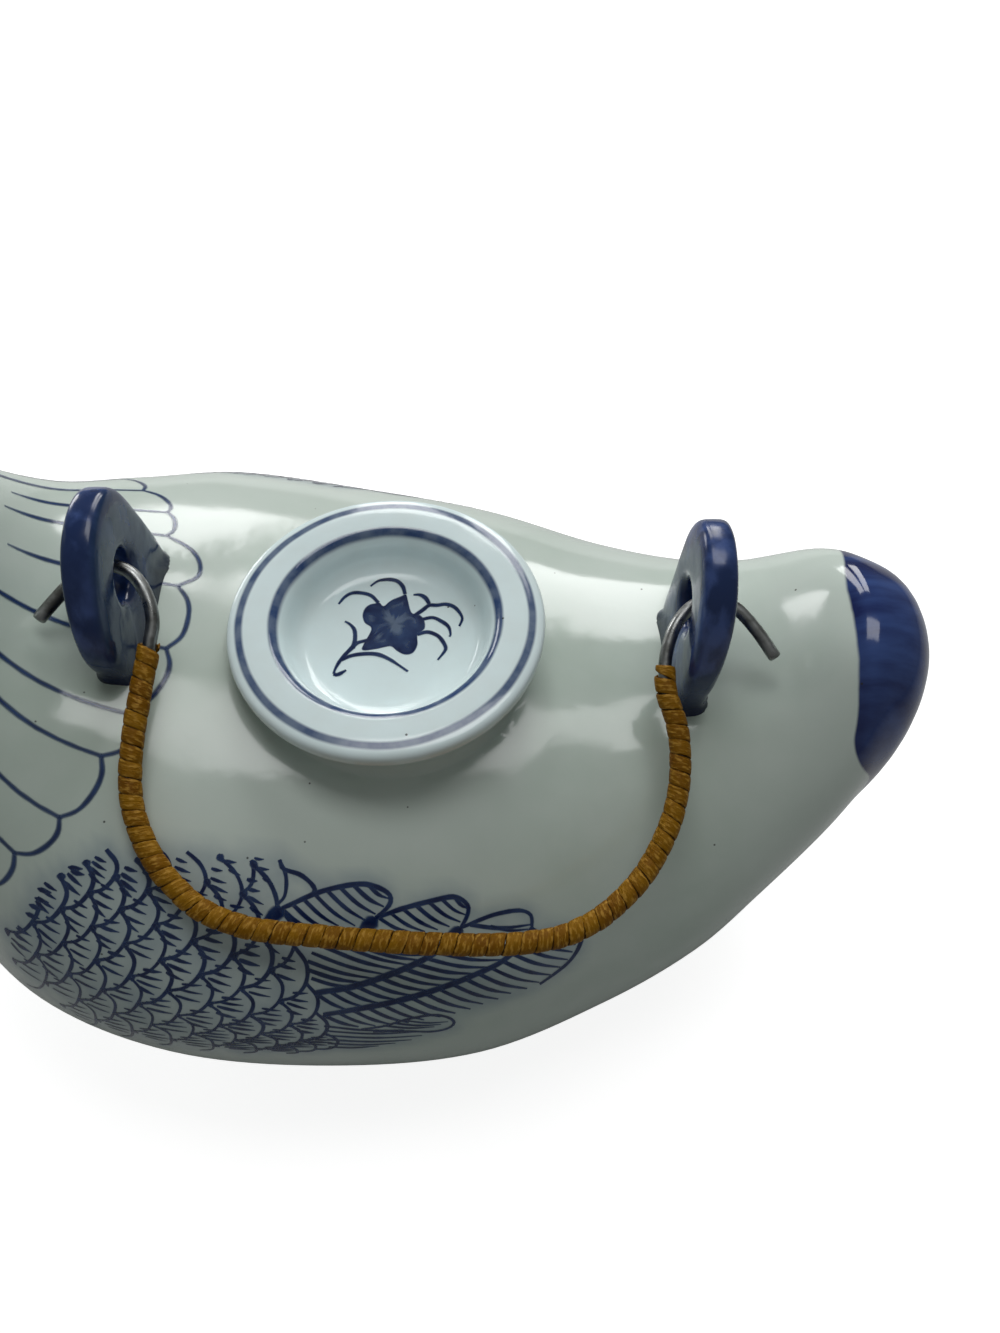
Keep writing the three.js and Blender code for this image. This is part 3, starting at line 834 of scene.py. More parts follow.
def rib(back: Point2, belly: Point2, half: float, waist: float) -> Rib:
    """Makes a rib from shares of the bird's reaches, heights and half width, as the solids do."""

    def placed(along: float, up: float) -> Point2:
        height = BACK_HEIGHT * up if up <= 1 else BACK_HEIGHT + (up - 1) * (CROWN_HEIGHT - BACK_HEIGHT)
        return along * (RUMP_REACH if along > 0 else BEAK_REACH), height

    return Rib(placed(*back), placed(*belly), half * HALF_WIDTH, waist)


BIRD_RIBS: tuple[Rib, ...] = (
    rib((0.999, 1.05), (0.945, 0.6), 0.331, 0.28),
    rib((0.907, 1.068), (0.88, 0.455), 0.427, 0.35),
    rib((0.788, 0.935), (0.769, 0.3), 0.541, 0.36),
    rib((0.654, 0.86), (0.644, 0.16), 0.662, 0.37),
    rib((0.462, 0.84), (0.442, 0.05), 0.797, 0.39),
    rib((0.192, 0.865), (0.173, 0.02), 0.946, 0.42),
    rib((-0.089, 0.895), (-0.104, 0.02), 1, 0.48),
    rib((-0.311, 0.965), (-0.356, 0.055), 0.982, 0.51),
    rib((-0.444, 1.048), (-0.593, 0.195), 0.858, 0.45),
    rib((-0.526, 1.177), (-0.748, 0.38), 0.646, 0.48),
    rib((-0.585, 1.422), (-0.815, 0.72), 0.419, 0.48),
    rib((-0.63, 1.653), (-0.822, 1.082), 0.277, 0.5),
    rib((-0.674, 1.857), (-0.815, 1.435), 0.216, 0.52),
    rib((-0.756, 2), (-0.844, 1.571), 0.209, 0.55),
    rib((-0.844, 1.98), (-0.881, 1.612), 0.162, 0.55),
    rib((-0.911, 1.857), (-0.919, 1.667), 0.097, 0.52),
    rib((-1, 1.8), (-0.989, 1.664), 0.073, 0.5),
)


@dataclass
class BirdForm:
    """The bird's skin as a chart: a place along the ribs and an angle round them gives a point."""

    ribs: tuple[Rib, ...] = BIRD_RIBS
    back_squareness: float = 2.13
    belly_squareness: float = 2.25
    tail_cap: float = 12.0
    tail_rise: float = 1.2
    tail_taper: float = 1.5
    tail_passes: int = 10
    beak_bore: float = 6.8

    def rib_rows(self, per_span: int) -> np.ndarray:
        """Gives smooth ribs, per_span of them from each driving rib to the next."""
        return catmull_curve(np.array([rib.numbers() for rib in self.ribs]), per_span)

    def ring(self, row: np.ndarray, angles: np.ndarray) -> np.ndarray:
        """Gives the points of one rib at angles from the back line, in radians."""
        xb, zb, xv, zv, half, waist = row
        cosine, sine = np.cos(angles), np.sin(angles)
        power = 2 / np.where(cosine > 0, self.back_squareness, self.belly_squareness)
        rise = np.sign(cosine) * np.abs(cosine) ** power
        side = np.sign(sine) * np.abs(sine) ** power
        share = waist + rise * np.where(rise > 0, 1 - waist, waist)
        return np.stack([xv + (xb - xv) * share, half * side, zv + (zb - zv) * share], axis=1)

    def chart(self, places: np.ndarray) -> tuple[np.ndarray, np.ndarray]:
        """Finds places on the bird's surface.

        Args:
            places: For each place how far along the ribs it is, and its angle from the back line in degrees,
                more than 0 on the bird's right.

        Returns:
            The points in millimetres, and the directions straight out of the surface.
        """
        per_span = 24
        rows = self.rib_rows(per_span)
        numbers = np.arange(len(rows))

        def point(along: np.ndarray, degrees: np.ndarray) -> np.ndarray:
            row = np.array([np.interp(along * per_span, numbers, rows[:, k]) for k in range(6)])
            return self.ring(row, np.radians(degrees))

        along, degrees = np.asarray(places, float).T
        onward = point(along + 0.04, degrees) - point(along - 0.04, degrees)
        round_it = point(along, degrees + 0.6) - point(along, degrees - 0.6)
        out = np.cross(round_it, onward)
        return point(along, degrees), out / np.linalg.norm(out, axis=1, keepdims=True)

    def inset(self, rows: np.ndarray, wall: float) -> np.ndarray:
        """Draws ribs in by a wall thickness, never narrower than the beak's bore."""
        rows = rows.copy()
        if wall <= 0:
            return rows
        for row in rows:
            span = row[0:2] - row[2:4]
            length = float(np.linalg.norm(span))
            step = span / length * min(wall, length / 2 - self.beak_bore / 2)
            row[0:2] -= step
            row[2:4] += step
            row[4] = max(row[4] - wall, self.beak_bore / 2)
        return rows

    def capped(self, rows: np.ndarray, length: float, steps: int) -> np.ndarray:
        """Adds ribs that round off the tail."""
        first = rows[0]
        middle = (first[0:2] + first[2:4]) / 2
        extra = []
        for i in range(steps):
            angle = math.pi / 2 * (1 - (i + 0.12) / steps)
            shift = np.array([length, self.tail_rise]) * math.sin(angle)
            size = math.cos(angle) ** self.tail_taper
            row = first.copy()
            row[0:2] = (first[0:2] - middle) * size + middle + shift
            row[2:4] = (first[2:4] - middle) * size + middle + shift
            row[4] = first[4] * size
            extra.append(row)
        whole = np.vstack([extra, rows])
        for _ in range(self.tail_passes):
            before, middle, after = (whole[k : 3 * steps + k - 3] for k in (2, 3, 4))
            whole[3 : 3 * steps] = (before + after) / 4 + middle / 2
        return whole

    def skin(self, wall: float, sides: int, per_span: int, overrun: float = 0.0) -> bpy.types.Object:
        """Makes the closed skin of the bird, drawn in by a wall.

        Args:
            wall: How far it is drawn in.
            sides: Points round each rib.
            per_span: Ribs for each driving one.
            overrun: How far it runs on past the beak's tip.

        Returns:
            The skin as an object.
        """
        rows = self.capped(self.inset(self.rib_rows(per_span), wall), self.tail_cap - wall, max(per_span, 6))
        angles = np.linspace(0, 2 * math.pi, sides, endpoint=False)
        rings = [self.ring(row, angles) for row in rows]
        if overrun > 0:
            rings.append(rings[-1] + np.array([-overrun, 0, -overrun / 2]))
        return solid("skin", *loft(np.array(rings)))


@dataclass
class Bird:
    """The hollow bird: skin, foot, mouth with a raised collar, and the open beak."""

    form: BirdForm = field(default_factory=BirdForm)
    wall: float = 4.0
    foot_half: Point2 = (50.0, 38.0)
    foot_top: float = 25.0
    mouth_radius: float = 25.0
    collar_wall: float = 2.5
    collar_lip: float = 1.0
    collar_top: float = 95.7
    collar_fillet: float = 2.6
    inside: float = 70.0
    above: float = 120.0
    sides: int = 168
    per_span: int = 10
    round_steps: int = 120

    def collar(self, skin: bpy.types.Object) -> bpy.types.Object:
        """Makes the mouth's collar, with a fillet that follows the back at its foot."""
        outer = self.mouth_radius + self.collar_wall
        inner = self.mouth_radius - self.collar_lip
        spread = self.collar_fillet
        top = self.collar_top
        chamfer = 0.6
        rings = []
        for a in np.linspace(0, 2 * math.pi, self.round_steps, endpoint=False):
            c, s = math.cos(a), math.sin(a)

            def height(radius: float) -> float:
                above = Vector((radius * c, radius * s, self.above)) * MM
                return skin.ray_cast(above, Vector((0, 0, -1)))[1].z / MM

            foot = height(outer + spread)
            rise = min(height(outer) + spread, top - 2 * chamfer) - foot
            curve = [
                (outer + spread * (1 - math.sin(t)), foot - 0.05 + rise * (1 - math.cos(t)))
                for t in np.linspace(0, math.pi / 2, 7)
            ]
            profile = [(inner, self.inside), (outer + spread, self.inside), *curve]
            profile += [(outer, top - chamfer), (outer - chamfer, top), (inner, top)]
            rings.append([[r * c, r * s, z] for r, z in profile])
        return solid("collar", *loft(np.array(rings), capped=False))

    def foot(self) -> bpy.types.Object:
        """Makes the flat oval foot with a rounded edge, drawn for a circle of radius 1."""
        edge = 1.0 / self.foot_half[1]
        rounded = [(0, 0), (1 - 1.4 * edge, 0), (1 - 0.4 * edge, 0.35), (1, 1.2)]
        profile = [*rounded, (1, self.foot_top), (0, self.foot_top)]
        return solid("foot", *turned(profile, self.round_steps, self.foot_half))

    def bore(self) -> bpy.types.Object:
        """Makes the round tool that opens the mouth."""
        low, high = self.inside + 5, self.above + 5
        profile = [(0, low), (self.mouth_radius, low), (self.mouth_radius, high), (0, high)]
        return solid("bore", *turned(profile, self.round_steps))

    def build(self, finish: Porcelain) -> bpy.types.Object:
        """Builds and dresses the bird.

        Args:
            finish: Its glaze.

        Returns:
            The bird.
        """
        bird = self.form.skin(0, self.sides, self.per_span)
        collar = self.collar(bird)
        hollow = self.form.skin(self.wall, 72, 5, overrun=self.wall)
        for tool in (self.foot(), collar):
            carve(bird, tool, "UNION")
        for tool in (hollow, self.bore()):
            carve(bird, tool, "DIFFERENCE")
        bird.name = "bird"
        hold_in(bird, *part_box("body"))
        smooth(bird, 34)
        finish_piece(bird, finish.material(), "pot", ["body"])
        return bird


# The lugs.


FRONT_ARCH: Sequence[Point2] = (
    (18.6, -14), (15.3, 0), (11.6, 11.2), (7.4, 15.4), (1.5, 16.6), (-4.6, 15.4), (-9.6, 12), (-13.8, 6.4),
    (-16.4, 0.5), (-17.2, -5), (-16, -10.5), (-14.5, -15), (-13, -22), (1, -24), (18, -22),
)
REAR_ARCH: Sequence[Point2] = (
    (13.6, -18), (12.6, -6), (12.1, 4), (11.2, 11), (8, 16.4), (2, 18.7), (-5, 17.4), (-10.6, 13),
    (-13.6, 6.8), (-14.8, 0), (-14.7, -8), (-13.7, -14), (-13, -20), (-12, -26), (0, -28), (13, -26),
)


@dataclass
class Lug:
    """One pierced ear, pressed by hand: a flat ring of clay, smeared out where it meets the back."""

    name: str
    hole: Point2
    outline: Sequence[Point2]
    thickness: float = 6.8
    hole_radius: float = 5.0
    lean: float = 0.0
    thin_side: float = 0.0
    roundness: float = 0.5
    smear: float = 1.1
    smear_height: float = 2.6
    around: int = 132
    through: int = 36

    def outer(self) -> np.ndarray:
        """Gives the outline as points across and up from the hole, evenly spread round it."""
        knots = np.array(self.outline, float)
        closed = np.vstack([knots[-2:], knots, knots[:2]])
        curve = catmull_curve(closed, 12)[24:-24]
        return spaced(np.vstack([curve, curve[:1]]), self.around + 1)[:-1]

    def ring(self, across: float, up: float) -> list[list[float]]:
        """Gives the section of the clay between the hole and one point of the outline."""
        away = np.array([across, up])
        reach = float(np.linalg.norm(away))
        way = away / reach
        middle = (reach + self.hole_radius) / 2
        wide = (reach - self.hole_radius) / 2
        half = self.thickness / 2
        lean = math.tan(math.radians(self.lean))
        ring = []
        for t in np.linspace(0, 2 * math.pi, self.through, endpoint=False):
            c, s = math.cos(t), math.sin(t)
            out = middle + wide * math.copysign(abs(c) ** 0.42, c)
            deep = half * math.copysign(abs(s) ** self.roundness, s)
            y, z = way * out
            ring.append([self.hole[0] + deep + lean * z, y, self.hole[1] + z])
        return ring

    def seat(self, lug: bpy.types.Object, skin: bpy.types.Object) -> None:
        """Smears the clay out near the back, and marks where the wash pooled and where it is thin."""
        mesh = lug.data
        form = bmesh.new()
        form.from_mesh(mesh)
        form.normal_update()
        pool, thin = [], []
        for point in form.verts:
            _, spot, out, _ = skin.closest_point_on_mesh(point.co)
            above = (point.co - spot).dot(out) / MM
            near = max(0.0, 1 - max(above, 0.0) / self.smear_height)
            side = point.normal - out * point.normal.dot(out)
            if above > -3 and side.length > 0.2:
                point.co += side.normalized() * (self.smear * near * near * MM)
            pool.append(min(1.0, max(0.0, 1 - above / 9)))
            thin.append(min(1.0, max(0.0, point.normal.x * self.thin_side * 1.4 - 0.3)))
        form.to_mesh(mesh)
        form.free()
        carry(mesh, "pool", pool)
        carry(mesh, "thin", thin)

    def build(self, finish: CobaltWash, skin: bpy.types.Object) -> None:
        """Builds and dresses the lug.

        Args:
            finish: Its wash.
            skin: The bird that it sits on.
        """
        rings = [self.ring(across, up) for across, up in self.outer()]
        lug = solid(f"{self.name}_form", *loft(np.array(rings), capped=False))
        self.seat(lug, skin)
        smooth(lug, 60)
        finish_piece(lug, finish.material(), "pot", [self.name])


def rounded_copy(name: str, finish: CobaltWash) -> None:
    """Replaces a small CAD solid of the head by the same form with its edges rubbed round.

    Args:
        name: The CAD node.
        finish: Its wash.
    """
    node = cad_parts[name]
    mesh = node.data.copy()
    mesh.transform(node.matrix_world)
    piece = linked(f"{name}_form", mesh)
    remesh = piece.modifiers.new("remesh", "REMESH")
    remesh.mode = "VOXEL"
    remesh.voxel_size = 0.35 * MM
    rub = piece.modifiers.new("rub", "SMOOTH")
    rub.factor = 0.5
    rub.iterations = 8
    baked(piece)
    hold_in(piece, *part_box(name))
    height = np.array([vertex.co.z for vertex in piece.data.vertices])
    share = 1 - (height - height.min()) / max(float(np.ptp(height)), 1e-6)
    carry(piece.data, "pool", 0.7 * share)
    smooth(piece, 80)
    finish_piece(piece, finish.material(), "pot", [name])


# The lid.


@dataclass
class Lid:
    """The sunken lid: a flat flange round a dished well that plugs the mouth."""

    top: float = 100.0
    radius: float = 32.3
    flange: float = 4.0
    plug: float = 24.2
    well: float = 21.6
    floor: float = 17.0
    depth: float = 9.0
    base: float = 87.5
    segments: int = 160

    def profile(self) -> list[Point2]:
        """Gives the turned outline from the underside to the middle of the well."""
        under = self.top - self.flange
        return softened(
            [
                (0, self.base, 0),
                (self.plug, self.base, 2.4),
                (self.plug, under, 0.5),
                (self.radius - 0.2, under, 0.9),
                (self.radius, self.top - 0.7, 1.3),
                (self.radius - 3.2, self.top, 1.6),
                (self.well + 1.4, self.top - 0.15, 1.3),
                (self.well - 0.2, self.top - 2.2, 1.5),
                (self.floor + 2.4, self.top - self.depth + 0.6, 4.6),
                (self.floor - 3, self.top - self.depth, 2.0),
                (0, self.top - self.depth - 0.3, 0),
            ],
            7,
        )

    def build(self, finish: Porcelain) -> None:
        """Builds and dresses the lid in its glaze."""
        lid = solid("lid_disc", *turned(self.profile(), self.segments))
        hold_in(lid, *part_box("lid"))
        smooth(lid, 40)
        finish_piece(lid, finish.material(), "lid", ["lid"])


# The painting.


def lerp(first: Sequence[float], second: Sequence[float], share: float) -> Point2:
    """Gives the place at a share of the way from one chart place to another."""
    return tuple((1 - share) * a + share * b for a, b in zip(first, second))


@functools.cache
def brush_tree() -> bpy.types.NodeTree:
    """Builds the tree that turns lines on a surface into soft-edged ribbons of ink just above it."""
    w = Weave("BrushStrokes", "Lines", dict.fromkeys(("Lift", "Unevenness", "Grain"), "Float"), "Ribbons")
    curve = w.add("GeometryNodeMeshToCurve", {"Mesh": w.given["Lines"]})
    grain = w.add("ShaderNodeTexNoise", {"Scale": w.given["Grain"], "Detail": 2.0}).outputs[0]
    wobble = w.math("MULTIPLY", w.math("SUBTRACT", grain, 0.5), w.given["Unevenness"])
    wide = w.math("MULTIPLY", w.carried("half", "FLOAT"), w.math("ADD", wobble, 1.0))
    read = {"Out": ("VECTOR", w.carried("out", "FLOAT_VECTOR")), "Half": ("FLOAT", wide)}
    curve, out, half = w.captured(curve, read)
    lifted = w.add("GeometryNodeSetPosition", {"Geometry": curve, "Offset": w.scaled(out, w.given["Lift"])})
    faced = w.add("GeometryNodeSetCurveNormal", {"Curve": lifted, "Normal": out}, mode="FREE")
    line = w.add("GeometryNodeCurvePrimitiveLine", {"Start": (0, -1, 0), "End": (0, 1, 0)})
    flat = w.add("GeometryNodeResampleCurve", {"Curve": line, "Count": 5})
    spot = w.add("ShaderNodeSeparateXYZ", {0: w.add("GeometryNodeInputPosition")})
    flat, across = w.captured(flat, {"Across": ("FLOAT", spot.outputs["Y"])})
    swept = w.add("GeometryNodeCurveToMesh", {"Curve": faced, "Profile Curve": flat, "Scale": half})
    edge = w.math("SUBTRACT", 1.0, w.math("ABSOLUTE", across))
    ink = w.math("MULTIPLY", w.carried("ink", "FLOAT"), w.math("MULTIPLY", edge, 1.5, clamp=True))
    return w.close(w.stored(swept, "ink", ink))


@dataclass
class Painting:
    """Brush strokes drawn in the chart of one node's surface, and the ribbons made of them.

    A stroke's rows hold its places, the ways out of the surface, half its width, and its ink.
    """

    name: str
    chart: Callable[[np.ndarray], tuple[np.ndarray, np.ndarray]]
    node: str = "body"
    body: str = "pot"
    slot: str = "cobalt"
    lift: float = 0.06
    pace: float = 0.7
    unevenness: float = 0.5
    grain: float = 420.0
    spread: float = 1.2
    pressed_by: float = 0.2
    lifted_over: float = 0.45
    strokes: list[np.ndarray] = field(default_factory=list)

    def stroke(
        self,
        knots: Sequence[Point2],
        half: float = 0.38,
        start: float = 0.75,
        end: float = 0.3,
        ink: float = 1.0,
    ) -> None:
        """Draws one stroke.

        Args:
            knots: Chart places that it runs through.
            half: Half its width in millimetres where the brush is pressed.
            start: How much of that it has where it starts.
            end: How much of that it has where it ends.
            ink: How much ink it holds.
        """
        points, out = self.chart(catmull_curve(np.array(knots, float), 8))
        steps = np.linalg.norm(np.diff(points, axis=0), axis=1)
        count = max(5, int(steps.sum() / self.pace) + 1)
        rows = spaced(np.hstack([points, out]), count)
        t = np.linspace(0, 1, count)
        pressing = start + (1 - start) * t / self.pressed_by
        lifting = end + (1 - end) * (1 - t) / self.lifted_over
        press = np.clip(np.minimum(pressing, lifting), 0, 1)
        load = ink * (0.35 + 0.65 * press)
        self.strokes.append(np.column_stack([rows, half * self.spread * press * MM, load]))

    def build(self, finish: BrushInk) -> None:
        """Turns the strokes into one piece of that ink."""
        lines = threads(self.name, self.strokes, {"out": slice(3, 6), "half": 6, "ink": 7})
        material = finish.material()
        values = {
            "Lift": self.lift * MM,
            "Unevenness": self.unevenness,
            "Grain": self.grain,
            "Finish": material,
        }
        dress(lines, brush_tree(), values)
        self.face_out(lines.data)
        hold_in(lines, *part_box(self.node))
        finish_piece(lines, material, self.body)

    def face_out(self, mesh: bpy.types.Mesh) -> None:
        """Turns the ribbons over if they face into the surface."""
        rows = np.vstack(self.strokes)
        middle = mesh.polygons[len(mesh.polygons) // 2]
        near = np.argmin(np.linalg.norm(rows[:, :3] * MM - np.array(middle.center), axis=1))
        if float(np.dot(np.array(middle.normal), rows[near, 3:6])) < 0:
            mesh.flip_normals()


@dataclass
class Hackle:
    """The long neck feathers: lines that run down the neck, each pair closed by one rounded end."""

    ends: Sequence[Point2] = (
        (8.2, 49), (7.80, 36), (7.42, 26), (7.34, 18.5), (7.11, 7), (7.09, -4), (7.33, -16), (7.48, -24),
        (7.79, -37), (8.19, -49), (8.45, -62), (8.75, -78), (9.0, -95),
    )
    bulge: Sequence[float] = (0.10, 0.12, 0.08, 0.24, 0.13, 0.14, 0.16, 0.13, 0.12, 0.08, 0.08, 0.08)
    tops: Sequence[float] = (11.2, 10.6, 9.3, 9.3, 9.12, 10.5, 11.0, 11.2, 11.4, 11.5, 11.6, 11.6, 11.6)
    end_shape: Sequence[Point2] = ((0.0, 0.0), (0.22, 0.75), (0.48, 1.0), (0.78, 0.8), (1.0, 0.0))
    half: float = 0.64
    ink: float = 0.62
    tier_top: float = 13.1
    tier_end: float = 11.7

    def draw(self, onto: Painting) -> None:
        """Draws the lower feathers, then a guessed tier above them."""
        for (along, angle), top in zip(self.ends, self.tops):
            line = [(top, angle * 1.06), ((top + along) / 2, angle * 1.03), (along, angle)]
            onto.stroke(line, self.half, 0.5, 0.8, self.ink)
        for first, last, bulge in zip(self.ends, self.ends[1:], self.bulge):
            arc = []
            for share, deep in self.end_shape:
                along, angle = lerp(first, last, share)
                arc.append((along - deep * bulge, angle))
            onto.stroke(arc, self.half, 0.8, 0.8, self.ink)
        for (_, left), (_, right) in zip(self.ends, self.ends[1:]):
            self.tier(onto, left, right)

    def tier(self, onto: Painting, left: float, right: float) -> None:
        """Draws one guessed feather of the upper tier between two angles."""
        middle = (left + right) / 2
        low = self.tier_end + 0.004 * abs(middle)
        corner = low + 0.25
        onto.stroke([(self.tier_top, left), (self.tier_top - 0.7, left), (corner, left)], self.half * 0.7)
        early = middle - (right - left) / 5
        onto.stroke([(corner, left), (low + 0.03, early), (low, middle), (corner, right)], 0.55)


@dataclass
class Wing:
    """One painted wing: a net of scales over its shoulder, then barred flight feathers.

    The scales' corners lie on a bent net in the bird's chart, counted along the wing and down the flank. Each
    dash is one bar in a scale: where it starts and ends, across the scale and down it from its own corner.
    """

    flank: float
    drop: float = 0.0
    corner: Point2 = (7.453, -48.0)
    onward: Point2 = (-0.266, -0.893)
    down: Point2 = (0.227, -5.23)
    onward_bend: Point2 = (0.0057, -0.173)
    twist: Point2 = (-0.0139, 0.05)
    down_bend: Point2 = (0.0179, -0.54)
    down_sway: Point2 = (-0.0024, -0.044)
    far_twist: Point2 = (-0.0001, 0.135)
    rows: Sequence[tuple[int, int]] = (
        (-1, 2), (-2, 3), (-2, 4), (-3, 4), (-3, 5), (-1, 5), (0, 5), (1, 5), (2, 5), (3, 5),
    )
    dashes: Sequence[tuple[float, float, float, float]] = (
        (0.29, 0.07, 0.9, 0.61),
        (0.46, -0.02, 0.94, 0.36),
        (0.18, 0.24, 0.8, 0.83),
        (0.13, 0.43, 0.58, 0.93),
    )
    line: float = 0.46
    thinnest: float = 0.3
    thinned_by: float = 0.035
    bow: Point2 = (1.224, 1.16)
    shortest: int = 6
    rib_pace: float = 23.0
    degree_pace: float = 1.25
    top_edge: Sequence[Point2] = ((6.2, -36), (6.85, -36), (7.26, -38), (7.6, -42.5), (7.86, -50), (8.1, -65))
    loose: Sequence[Point2] = (
        (7.66, -45), (7.93, -52.6), (7.95, -55), (8.0, -57.4), (8.03, -60), (8.12, -66), (8.14, -68.5),
        (8.12, -71),
    )
    leaf: Sequence[Point2] = ((6.22, -36), (6.2, -37.5), (6.09, -38.5), (6.01, -41), (6.1, -43), (6.2, -44.5))
    first_feather: Sequence[Point2] = (
        (6.2, -44.5), (6.01, -41.6), (5.84, -40.1), (5.7, -39.8), (5.58, -41.4), (5.57, -43.5), (5.65, -46),
    )
    second_feather: Sequence[Point2] = (
        (5.65, -46), (5.5, -44.4), (5.32, -43.2), (5.18, -42.8), (5.10, -44.6), (5.10, -46.6), (5.14, -49),
    )
    third_feather: Sequence[Point2] = (
        (5.14, -49), (5.01, -47.8), (4.9, -47.2), (4.76, -47.4), (4.68, -49), (4.67, -52),
    )
    tip: Sequence[Point2] = (
        (4.62, -53.5), (4.48, -54.5), (4.32, -57.5), (4.32, -60.5), (4.38, -63.5), (4.47, -65.5),
        (4.6, -67.5),
    )
    upper_quill: Sequence[Point2] = (
        (6.01, -62), (5.79, -60.5), (5.58, -58), (5.37, -55), (5.24, -52.3), (5.14, -49),
    )
    lower_quill: Sequence[Point2] = (
        (5.97, -68), (5.77, -66.4), (5.53, -64.6), (5.27, -62.2), (5.05, -60), (4.84, -57.5), (4.67, -52),
    )
    free_ends: Sequence[Point2] = (
        (5.76, -72), (5.49, -71.5), (5.27, -70.5), (5.03, -69), (4.82, -67.7), (4.6, -67), (4.46, -65),
        (4.38, -62), (4.35, -59.5),
    )
    shoulder: Sequence[Point2] = (
        (6.03, -58.5), (6.05, -56), (6.03, -53), (5.9, -51.2), (5.72, -51.5), (5.55, -52.5),
    )
    low_feather: Sequence[Point2] = (
        (5.75, -72.8), (5.61, -72), (5.48, -70.3), (5.32, -69.6), (5.22, -71), (5.18, -73.2), (5.22, -75),
        (5.32, -75.5), (5.48, -74.4), (5.68, -73.8),
    )
    first_tips: Sequence[Point2] = (
        (6.03, -48), (5.92, -48), (5.84, -47.5), (5.73, -47), (5.66, -45.5), (5.59, -43.7), (5.57, -42.5),
    )
    second_tips: Sequence[Point2] = (
        (5.44, -49), (5.32, -49), (5.18, -48.5), (5.12, -47.5), (5.10, -46.3), (5.10, -45.2),
    )
    low_tips: Sequence[Point2] = ((5.5, -73.8), (5.36, -76), (5.44, -78), (5.65, -80))

    def place(self, i: float, j: float) -> Point2:
        """Gives a corner of the net of scales."""
        terms = (
            (1.0, self.corner),
            (i, self.onward),
            (j, self.down),
            (i * i, self.onward_bend),
            (i * j, self.twist),
            (j * j, self.down_bend),
            (j**3, self.down_sway),
            (i * j * j, self.far_twist),
        )
        return tuple(sum(weight * term[k] for weight, term in terms) for k in (0, 1))

    def pull(self, onto: Painting, knots: Sequence[Point2], half: float, start: float, end: float) -> None:
        """Draws one stroke on this wing's flank."""
        onto.stroke([(along, self.flank * (self.drop - angle)) for along, angle in knots], half, start, end)

    def pull_below(
        self, onto: Painting, knots: Sequence[Point2], half: float, start: float, end: float
    ) -> None:
        """Draws the part of a stroke that lies below the wing's top edge."""
        curve = catmull_curve(np.array(knots), 6)
        kept = curve[curve[:, 1] <= np.interp(curve[:, 0], *np.array(self.top_edge).T)]
        if len(kept) >= self.shortest:
            self.pull(onto, kept, half, start, end)

    def scale(self, onto: Painting, i: int, j: int, lot: random.Random) -> None:
        """Draws one scale: its rounded edge, the ink that gathers in its corner, and the bars in it."""
        corners = ((i, j), (i, j - 1), (i + 1, j), (i + 1, j + 1))
        apex, above, beside, below = (self.place(*corner) for corner in corners)
        half = max(self.thinnest, self.line - self.thinned_by * max(j, 0)) * lot.uniform(0.85, 1.15)
        over = lerp(apex, lerp(above, beside, 0.5), self.bow[0])
        under = lerp(apex, lerp(beside, below, 0.55), self.bow[1])
        self.pull_below(onto, [above, over, beside, under, below], half, 0.9, 0.8)

        def inside(across: float, along: float) -> Point2:
            return tuple(p + across * (q - p) + along * (r - p) for p, q, r in zip(apex, above, below))

        gathered = [inside(0.03, -0.06), inside(0.05, 0.06), inside(0.04, 0.2)]
        self.pull_below(onto, gathered, half * 1.8, 0.4, 0.25)
        count = len(self.dashes) - (1 if lot.random() < 0.3 else 0)
        for dash in self.dashes[:count]:
            a, b, c, d = (value + lot.uniform(-0.035, 0.035) for value in dash)
            bar = inside(a, b), inside((a + c) / 2, (b + d) / 2 + 0.02), inside(c, d)
            self.pull_below(onto, bar, half * lot.uniform(0.82, 1.02), 0.65, 0.3)

    def bars(
        self, onto: Painting, first: Sequence[Point2], last: Sequence[Point2], count: int, half: float = 0.44
    ) -> None:
        """Draws bars that run from one line to another, bent a little down the flank.

        Args:
            onto: The painting.
            first: Where the bars start.
            last: Where the bars end.
            count: How many there are.
            half: Half their width.
        """
        lot = random.Random(count)
        for start, end in zip(self.even(first, count), self.even(last, count)):
            middle = lerp(start, end, 0.5)
            end = lerp(start, end, 1 + lot.uniform(-0.03, 0.03))
            bar = [start, (middle[0], middle[1] - 0.5), end]
            self.pull(onto, bar, half * lot.uniform(0.85, 1.15), 0.95, 0.45)

    def even(self, line: Sequence[Point2], count: int) -> list[Point2]:
        """Spreads places evenly along a line, as it lies on the flank."""
        curve = catmull_curve(np.array(line), 12)
        flat = [curve[:, 0] * self.rib_pace, curve[:, 1] * self.degree_pace, np.zeros(len(curve)), curve]
        return [(float(row[3]), float(row[4])) for row in spaced(np.column_stack(flat), count)]

